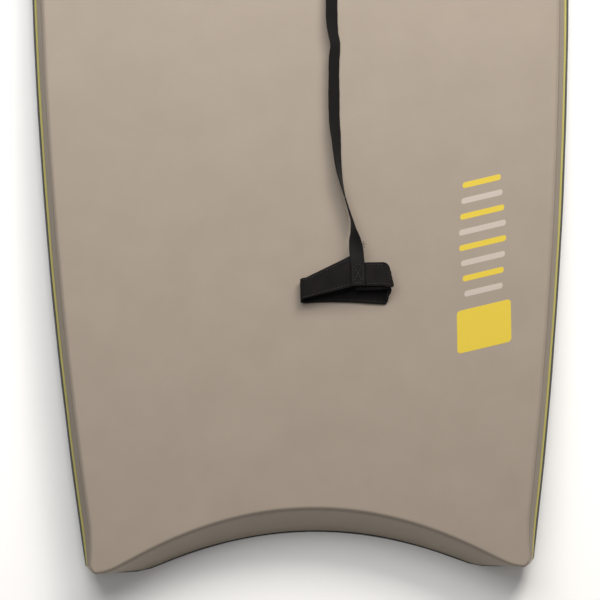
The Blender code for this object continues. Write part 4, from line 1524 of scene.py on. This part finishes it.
@dataclass(frozen=True)
class LeashStrap:
    """The flat webbing strap, the folded tab that ties it to the string, and its sewing.

    Attributes:
        finishes: The finishes to dress it in.
        deck: The deck's height.
        width: The webbing's width.
        thick: Its thickness.
        route: Points of x, y, the height of what holds it up above the deck, and its roll in degrees.
        tab_end_y: Where the tab's two legs end.
        link: The place of the string's bight across, along and up.
        fold_turn: The radius of the tab's fold round the bight.
        cuff_end: The place across and along of the strap's sewn end on the cuff.
    """

    finishes: Finishes
    deck: float = 0.054
    width: float = 0.0145
    thick: float = 0.0013
    route: tuple[tuple[float, float, float, float], ...] = (
        (0.0330, 0.172, 0.0016, 0),
        (0.0330, 0.158, 0.0016, 0),
        (0.0330, 0.146, 0.0013, 1),
        (0.0329, 0.130, 0.0, 6),
        (0.0326, 0.095, 0.0, 22),
        (0.0321, 0.060, 0.0, 34),
        (0.0319, 0.036, 0.0, 37),
        (0.0331, 0.022, 0.0, 43),
        (0.0350, 0.010, 0.0, 46),
        (0.0335, -0.008, 0.0, 42),
        (0.0329, -0.038, 0.0, 40),
        (0.0329, -0.068, 0.0, 40),
        (0.0343, -0.086, 0.0, 50),
        (0.0356, -0.107, 0.0, 61),
        (0.0371, -0.121, 0.0, 70),
        (0.0395, -0.134, 0.0003, 81),
        (0.0430, -0.149, 0.0008, 90),
        (0.0466, -0.162, 0.0014, 93),
        (0.0492, -0.1718, 0.0022, 98),
        (0.0504, -0.181, 0.0042, 113),
        (0.0513, -0.1875, 0.0068, 133),
        (0.0523, -0.1945, 0.0098, 155),
        (0.0534, -0.2045, 0.0130, 173),
        (0.0541, -0.2135, 0.0151, 180),
        (0.0545, -0.226, 0.0151, 180),
        (0.0546, -0.2385, 0.0151, 180),
    )
    tab_end_y: float = 0.146
    link: tuple[float, float, float] = (0.033, 0.190, 0.0583)
    fold_turn: float = 0.00335
    cuff_end: tuple[float, float] = (0.0546, -0.2262)

    def line(self) -> list[Vector]:
        """The strap's middle with its roll."""
        keys = [(x, y, held, math.radians(roll)) for x, y, held, roll in self.route]
        points = []
        for x, y, held, roll in smooth_line(keys, 1.8 * MM):
            rise = abs(math.sin(roll)) * self.width / 2 + abs(math.cos(roll)) * self.thick / 2
            points.append(Vector((x, y, self.deck + HAIR + held + rise, roll)))
        return points

    def webbing(self, far: float) -> Section:
        """The webbing's section there, with the slight unevenness of a soft weave."""
        narrow = 1 + ripple(far, ((0.022, 0.041, 0.0), (0.014, 0.0137, 0.004)))
        return flat_section(self.width * narrow, self.thick, 0.95, 8)

    def build(self, cuff_pieces: Sequence[bpy.types.Object]) -> None:
        """Makes the strap, its tab and the sewing.

        Args:
            cuff_pieces: The pieces of the cuff on the strap's end; not used.
        """
        line = self.line()
        strap = swept("leash_strap_webbing", rolled_stations(line, self.webbing))
        settle(strap, Body.STRAP, "webbing", self.finishes.webbing, ["leash_strap"])
        tab = swept("strap_tab_webbing", self.tab_stations())
        settle(tab, Body.STRAP, "webbing", self.finishes.webbing, ["strap_tab"])
        sewing = settle(self.sewing(), Body.STRAP, "webbing", self.finishes.thread)
        for number, end in enumerate(self.fray(), 1):
            thread = swept(f"loose_thread_{number}", tube_stations(end, 0.28 * MM))
            settle(thread, Body.STRAP, "webbing", self.finishes.thread)

    def tab_stations(self) -> list[Station]:
        """The folded tab, whose two legs hold the strap's end between them."""
        x, y, z = self.link
        low, high = self.deck + HAIR + self.thick / 2, self.deck + 3 * HAIR + 2.5 * self.thick
        turn = self.fold_turn
        keys = [(self.tab_end_y, low), (self.tab_end_y + 0.012, low), (y - 0.008, low)]
        keys += [(y + turn * math.cos(a), z + turn * math.sin(a)) for a in spread(-math.pi / 2, 1.8, 11)]
        keys += [(y - 0.0062, z + turn - 0.0014), (y - 0.0115, high + 0.0010), (0.172, high)]
        keys += [(self.tab_end_y + 0.012, high), (self.tab_end_y, high)]
        line = smooth_line([(x, *key) for key in keys], 0.8 * MM)
        across, section = Vector((1, 0, 0)), flat_section(self.width, self.thick, 0.95, 8)
        return [Station(p, across, run.cross(across), section) for p, run in zip(line, directions(line))]

    def sewing(self) -> bpy.types.Object:
        """The box stitches on the tab and on the strap's end over the cuff."""
        bm = bmesh.new()
        stitch = Stitching()
        tab_z = self.deck + 3 * HAIR + 3 * self.thick
        end_z = self.deck + HAIR + self.route[-1][2] + self.thick
        boxes = (
            ((self.link[0], 0.1585), (0.0105, 0.021), tab_z),
            (self.cuff_end, (0.0105, 0.019), end_z),
        )
        for (x, y), (wide, long), z in boxes:
            signs = ((-1, -1), (1, -1), (1, 1), (-1, 1))
            box = [Vector((x + sx * wide / 2, y + sy * long / 2, z)) for sx, sy in signs]
            for a, b in ((0, 1), (1, 2), (2, 3), (3, 0), (0, 2), (1, 3)):
                row = [box[a].lerp(box[b], share) for share in (0.05, 0.5, 0.95)]
                stitch.sew(bm, row, lambda _: Vector((0, 0, 1)))
        return to_object("strap_box_stitches", bm, 80)

    def fray(self) -> list[list[Vector]]:
        """The short frayed ends that stand out from the strap's edge above the cuff."""
        root = Vector((0.0584, -0.1966, 0.0678))
        ends = (
            ((0.0018, -0.0004, 0.0006), (0.0032, 0.0009, 0.0010), (0.0044, -0.0006, 0.0012)),
            ((0.0013, -0.0015, 0.0002), (0.0026, -0.0019, -0.0002), (0.0034, -0.0033, -0.0008)),
            ((0.0012, 0.0010, 0.0004), (0.0022, 0.0024, 0.0002), (0.0023, 0.0037, -0.0004)),
        )
        inside = root - Vector((0.0008, 0, 0))
        return [smooth_line([inside, *(root + Vector(step) for step in end)], 0.3 * MM) for end in ends]


@dataclass(frozen=True)
class WristCuff:
    """The soft band folded into a flattened loop, its flap, and the hook-and-loop patches.

    Attributes:
        finishes: The finishes to dress it in.
        deck: The deck's height.
        thick: The band's thickness.
        width: The band's usual width.
        top_y: The middle of the band's inner end along the board.
        low_y: The middle of the lower layer.
        left_x: The centre of the left fold.
        right_x: The centre of the right fold.
        heights: Above the deck, the lower layer, the inner end, the left fold's top and the outer layer.
        inner_x: Where the band's inner end lies.
        outer_x: Where the band's outer end meets the flap.
        peak: The place across and along, and the width, of the outer layer's widest part.
        sag: How much further down the lower layer lies at the right than at the left.
        bow: How far the lower layer's middle bows up the board.
        fold_width: The width that shows at the left fold.
        fold_top: The width where the left fold meets the outer layer.
        left_rise: How much further up the board the left fold's top lies than its foot.
        turn: How much further down and how much narrower the band is at the right fold's top.
        fold_slant: How far the right fold is turned at its top, halfway and at its foot, in degrees.
        seam_at: Where the band's two seams run, as a share of half its width.
        flap_y: The flap's middle along the board.
        flap_right: The flap's right end at its upper and lower corner.
        flap_half: Half the flap's width.
        flap_corners: The radius of its upper and lower right corner.
        flap_lift: How far its right end curls up.
        flap_droop: How far its lower right corner hangs down the board.
        loop_x: The loop patch's left and right ends.
        hook_x: The hook patch's left and right ends.
        tape_y: The patches' middle along the board.
        tape_half: Half the patches' width.
        tape_thick: The patches' thickness.
        flap_low: The flap's underside above the deck.
        flap_thick: The flap's thickness.
    """

    finishes: Finishes
    deck: float = 0.054
    thick: float = 0.002
    width: float = 0.0280
    top_y: float = -0.2296
    low_y: float = -0.2438
    left_x: float = 0.0005
    right_x: float = 0.0843
    heights: tuple[float, float, float, float] = (0.0013, 0.0103, 0.0109, 0.0138)
    inner_x: float = 0.052
    outer_x: float = 0.0622
    peak: tuple[float, float, float] = (0.0470, -0.2240, 0.0322)
    sag: float = 0.0010
    bow: float = 0.0016
    fold_width: float = 0.0245
    fold_top: float = 0.0215
    left_rise: float = 0.0036
    turn: tuple[float, float] = (0.0010, 0.0020)
    fold_slant: tuple[float, float, float] = (17.0, -6.0, -10.0)
    seam_at: float = 0.82
    flap_y: float = -0.2271
    flap_right: tuple[float, float] = (0.0862, 0.0920)
    flap_half: float = 0.0122
    flap_corners: tuple[float, float] = (0.0055, 0.003)
    flap_lift: float = 0.0005
    flap_droop: float = 0.0018
    loop_x: tuple[float, float] = (0.054, 0.0828)
    hook_x: tuple[float, float] = (0.0645, 0.0858)
    tape_y: float = -0.2276
    tape_half: float = 0.0109
    tape_thick: float = 0.0007
    flap_low: float = 0.0136
    flap_thick: float = 0.0012

    def band_line(self) -> list[Vector]:
        """The band's middle with its width and slant: in under the flap, round the loop and over."""
        low, inner, left, outer = (self.deck + h for h in self.heights)
        turn_y, turn_width = self.top_y - self.turn[0], self.width - self.turn[1]
        slant_top, slant_middle, slant_low = (math.radians(a) for a in self.fold_slant)
        keys = []
        for share in spread(0, 1, 4)[:-1]:
            x, y = mix(self.inner_x, self.right_x, share), mix(self.top_y, turn_y, share)
            keys.append((x, y, inner, mix(self.width, turn_width, share), slant_top * ease(share)))
        radius, middle = (inner - low) / 2, (inner + low) / 2
        for a in spread(math.pi / 2, -math.pi / 2, 9):
            share = (1 - math.sin(a)) / 2
            x, y = self.right_x + 0.5 * radius * math.cos(a), mix(turn_y, self.low_y - self.sag, share)
            slant = mix(slant_top, slant_middle, min(2 * share, 1.0))
            slant += (slant_low - slant_middle) * max(2 * share - 1, 0.0)
            keys.append((x, y, middle + radius * math.sin(a), mix(turn_width, self.width, share), slant))
        for share in spread(0, 1, 7)[1:-1]:
            x = mix(self.right_x, self.left_x, share)
            y = self.low_y - self.sag * (1 - ease(share)) + self.bow * math.sin(math.pi * share)
            slant = slant_low * max(0.0, 1 - 3 * share)
            keys.append((x, y, low, mix(self.width, self.fold_width, ease(share)), slant))
        radius, middle = (left - low) / 2, (left + low) / 2
        left_y = self.low_y + self.left_rise
        for a in spread(-math.pi / 2, -3 * math.pi / 2, 9):
            share = ((1 + math.sin(a)) / 2) ** 2
            x, y = self.left_x + radius * math.cos(a), mix(self.low_y, left_y, share)
            width = mix(self.fold_width, self.fold_top, share)
            keys.append((x, y, middle + radius * math.sin(a), width, 0.0))
        peak_x, peak_y, peak_w = self.peak
        for share in spread(0, 1, 8)[1:]:
            x, y = mix(self.left_x, peak_x, share), mix(left_y, peak_y, share)
            keys.append((x, y, mix(left, outer, ease(share)), mix(self.fold_top, peak_w, share), 0.0))
        keys += [(peak_x + 0.005, peak_y - 0.0006, outer, peak_w - 0.0018, 0.0)]
        keys += [(self.outer_x, self.flap_y, outer, 2 * self.flap_half, 0.0)]
        return smooth_line(keys, 1.6 * MM)

    def band_stations(self) -> list[Station]:
        """The band's sections, with soft creases and edges that pull in where they are sewn."""
        line = self.band_line()
        stations = []
        for point, way, far in zip(line, directions(line), distances(line)):
            run = Vector((way.x, 0, way.z)).normalized()
            out = Vector((-run.z, 0, run.x))
            swell = ripple(far, ((0.10, 0.021, 0.0), (0.07, 0.0093, 0.003)))
            crease = ripple(far, ((0.30 * MM, 0.034, 0.01), (0.18 * MM, 0.015, 0.0)))
            section = []
            for across, height in flat_section(point[3], self.thick, 0.95, 14):
                edge = abs(across) / (point[3] / 2)
                seam = 0.22 * math.exp(-(((edge - self.seam_at) / 0.07) ** 2))
                puff = 1 + swell * (1 - edge) + 0.10 * (1 - edge**2) - seam
                section.append((across, height * puff + crease * across / point[3] * 0.8))
            across = Vector((math.sin(point[4]), -math.cos(point[4]), 0))
            stations.append(Station(point.to_3d(), across, out, section))
        return stations

    def build(self) -> list[bpy.types.Object]:
        """Makes the cuff.

        Returns:
            Its pieces.
        """
        finishes = self.finishes
        stations = self.band_stations()
        band = swept("cuff_band_padded", stations, 70)
        settle(band, Body.STRAP, "cuff_fabric", finishes.cuff, ["cuff_band"])
        seams = settle(self.band_seams(stations), Body.STRAP, "cuff_fabric", finishes.thread)
        loop_low = self.deck + self.heights[1] + self.thick / 2 + HAIR
        hook_low = loop_low + self.tape_thick + HAIR
        loop = self.patch("loop_patch_pile", self.loop_x, loop_low, 0.002)
        settle(loop, Body.STRAP, "cuff_fabric", finishes.loops, ["loop_patch"])
        loop_seam = self.patch_seam("loop_patch_stitches", self.loop_x, loop_low + self.tape_thick, 1)
        settle(loop_seam, Body.STRAP, "cuff_fabric", finishes.thread)
        hooks = self.patch("hook_patch_tape", self.hook_x, hook_low, 0.005)
        settle(hooks, Body.FLAP, "hook_tape", finishes.hooks, ["hook_patch"])
        hook_seam = self.patch_seam("hook_patch_stitches", self.hook_x, hook_low, -1)
        settle(hook_seam, Body.FLAP, "cuff_fabric", finishes.thread)
        flap = self.flap()
        settle(flap, None, "cuff_fabric", finishes.cuff, ["cuff_flap"])
        flap_seam = settle(self.flap_seam(), None, "cuff_fabric", finishes.thread)
        for piece in (flap, flap_seam):
            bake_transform(piece)
        return [band, seams, loop, loop_seam, hooks, hook_seam, flap, flap_seam]

    def band_seams(self, stations: Sequence[Station]) -> bpy.types.Object:
        """Two rows of stitches round the band, a little in from its edges."""
        bm = bmesh.new()
        stitch = Stitching(2.4 * MM, 1.0 * MM, 0.3 * MM)
        outs = [(s.centre, s.out) for s in stations]
        for sign in (-1, 1):
            row = []
            for station in stations[2:-2]:
                half = max(a for a, _ in station.section)
                top = max(o for _, o in station.section)
                edge = station.across * sign * half * self.seam_at
                row.append(station.centre + edge + station.out * top * 0.80)
            for side in (1, -1):
                shift = [
                    p if side == 1 else p - s.out * 1.62 * max(o for _, o in s.section)
                    for p, s in zip(row, stations[2:-2])
                ]
                stitch.sew(
                    bm, shift, lambda p, side=side: side * min(outs, key=lambda c: (c[0] - p).length)[1]
                )
        return to_object("cuff_edge_stitches", bm, 80)

    def patch(self, name: str, across: tuple[float, float], low: float, corner: float) -> bpy.types.Object:
        """A thin patch of hook or loop tape with rounded right corners.

        Args:
            name: The piece's name.
            across: Its left and right ends.
            low: Its underside's height.
            corner: The corners' radius.

        Returns:
            The patch.
        """
        half = self.tape_half

        def place(u: float, v: float) -> Vector:
            """The patch's middle surface."""
            y = mix(-half, half, v)
            cut = max(0.0, abs(y) - (half - corner))
            right = across[1] - corner + math.sqrt(max(corner**2 - cut**2, 0.0))
            return Vector((mix(across[0], right, u), self.tape_y + y, low + self.tape_thick / 2))

        return pillow(name, place, lambda u, v: self.tape_thick / 2, (24, 22))

    def patch_seam(self, name: str, across: tuple[float, float], z: float, side: int) -> bpy.types.Object:
        """The row of stitches just inside a patch's edges, on its upper (1) or lower (-1) face."""
        bm = bmesh.new()
        left, right, half = across[0] + 0.0012, across[1] - 0.0020, self.tape_half - 0.0012
        turn = 0.0030
        ring = [(left, -half), (right - turn, -half), (right, turn - half), (right, half - turn)]
        ring += [(right - turn, half), (left, half), (left, -half)]
        for (ax, ay), (bx, by) in zip(ring, ring[1:]):
            row = [Vector((mix(ax, bx, t), self.tape_y + mix(ay, by, t), z)) for t in (0.02, 0.5, 0.98)]
            Stitching(1.9 * MM, 0.8 * MM, 0.2 * MM).sew(bm, row, lambda _: Vector((0, 0, side)))
        return to_object(name, bm, 80)

    def flap_place(self, u: float, v: float) -> Vector:
        """The flap's middle surface: its right end is slanted, with a wide upper corner."""
        y = mix(-self.flap_half, self.flap_half, v)
        right = mix(self.flap_right[1], self.flap_right[0], v)
        corner = self.flap_corners[0 if y > 0 else 1]
        cut = max(0.0, abs(y) - (self.flap_half - corner))
        right -= corner - math.sqrt(max(corner**2 - cut**2, 0.0))
        x = mix(self.outer_x - 0.0002, right, u)
        lift = self.flap_lift * ease(max(0.0, (u - 0.75) / 0.25))
        droop = self.flap_droop * (1 - v) * ease(max(0.0, (u - 0.6) / 0.4))
        return Vector((x, self.flap_y + y - droop, self.deck + self.flap_low + self.flap_thick / 2 + lift))

    def flap_half_thick(self, u: float, v: float) -> float:
        """Half the flap's thickness: puffed, pulled in at its seam, and as thick as the band at its root."""
        edge = min(u / 0.02, (1 - u) * 18, v * 18, (1 - v) * 18, 1.0)
        near = min(1 - u, v, 1 - v) * 2 * self.flap_half
        seam = 0.25 * math.exp(-(((near - 0.0026) / 0.0008) ** 2))
        root = mix(1.5, 1.0, ease(min(u / 0.12, 1.0)))
        return self.flap_thick / 2 * root * (math.sqrt(max(edge, 0.05)) - seam)

    def flap(self) -> bpy.types.Object:
        """The padded flap that closes the cuff."""
        return pillow("cuff_flap_padded", self.flap_place, self.flap_half_thick, (44, 40))

    def flap_seam(self) -> bpy.types.Object:
        """The row of stitches round the flap and the cross row that joins it to the band."""
        bm = bmesh.new()
        stitch = Stitching(2.4 * MM, 1.0 * MM, 0.3 * MM)
        inner = 0.0026 / (2 * self.flap_half)
        rows = [
            [(u, inner) for u in spread(0.04, 0.86, 12)],
            [(0.905, v) for v in spread(0.22, 0.68, 6)],
            [(u, 1 - inner) for u in spread(0.78, 0.04, 12)],
        ]
        for row in rows:
            line = [self.flap_place(u, v) + Vector((0, 0, self.flap_half_thick(u, v))) for u, v in row]
            stitch.sew(bm, line, lambda _: Vector((0, 0, 1)))
        return to_object("flap_stitches", bm, 80)


@dataclass(frozen=True)
class Studio:
    """A plain pale floor, soft lights and the camera straight above the tail.

    Attributes:
        floor: The floor's colour.
        view: The width of the floor that the camera sees.
        aim: Where the camera looks.
        height: How high the camera is.
        roll: How far the board's line turns in the frame, in degrees.
    """

    floor: str = "#F4F3F1"
    view: float = 0.622
    aim: tuple[float, float, float] = (-0.0056, -0.2526, 0.03)
    height: float = 6.0
    roll: float = -0.94

    def build(self) -> None:
        """Makes the floor, the lights, the world and the camera."""
        self.make_floor()
        self.soft_box("key_light", (1.05, 1.75, 1.55), (0.0, -0.1, 0.0), 1.0, 66.0, "#FFFBF5")
        self.soft_box("top_light", (-0.25, 0.95, 1.35), (0.0, 0.0, 0.0), 1.6, 34.0, "#FFFFFF")
        world = bpy.data.worlds.new("pale_room")
        world.use_nodes = True
        background = world.node_tree.nodes["Background"]
        background.inputs["Color"].default_value = linear("#F2F2F2")
        background.inputs["Strength"].default_value = 0.3
        scene = bpy.context.scene
        scene.world = world
        scene.view_settings.view_transform = "Standard"
        scene.camera = self.camera()

    def make_floor(self) -> None:
        """The floor, wide enough for every view."""
        bm = bmesh.new()
        bmesh.ops.create_grid(bm, x_segments=1, y_segments=1, size=6.0)
        floor = to_object("floor", bm)
        paper = PlainFinish("floor_matt_paper", self.floor, "#F7F6F4", 0.05, 0.9, relief=0.0)
        dress(floor, paper.build())

    def soft_box(
        self,
        name: str,
        place: tuple[float, float, float],
        aim: tuple[float, float, float],
        size: float,
        power: float,
        colour: str,
    ) -> None:
        """One square soft light aimed at a point."""
        light = bpy.data.lights.new(name, "AREA")
        light.shape, light.size, light.energy = "SQUARE", size, power
        light.color = linear(colour)[:3]
        lamp = bpy.data.objects.new(name, light)
        lamp.location = place
        lamp.rotation_euler = (Vector(aim) - Vector(place)).to_track_quat("-Z", "Y").to_euler()
        bpy.context.scene.collection.objects.link(lamp)

    def camera(self) -> bpy.types.Object:
        """The long-lens camera that looks straight down."""
        data = bpy.data.cameras.new("overhead_camera")
        data.sensor_width = 36.0
        data.lens = data.sensor_width * self.height / self.view
        data.clip_start, data.clip_end = 0.1, 100.0
        camera = bpy.data.objects.new("overhead_camera", data)
        x, y, z = self.aim
        camera.location = (x, y, z + self.height)
        camera.rotation_euler = (0.0, 0.0, math.radians(self.roll))
        bpy.context.scene.collection.objects.link(camera)
        return camera


def clear_scene() -> None:
    """Empties the scene."""
    for obj in list(bpy.data.objects):
        bpy.data.objects.remove(obj)


def main() -> None:
    """Builds the board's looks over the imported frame."""
    logging.basicConfig(level=logging.INFO, format="%(name)s: %(message)s")
    clear_scene()
    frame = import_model()
    Studio().build()
    finishes = Finishes()
    PlugString(finishes).build()
    cuff_pieces = WristCuff(finishes).build()
    LeashStrap(finishes).build(cuff_pieces)
    FoamBody(BoardShape(), finishes).build()
    LeashPlug(finishes).build()
    DeckPrint(finishes).build()
    FrameParts(finishes, frame["nodes"]).build()
    bpy.context.view_layer.update()


if __name__ == "__main__":
    main()
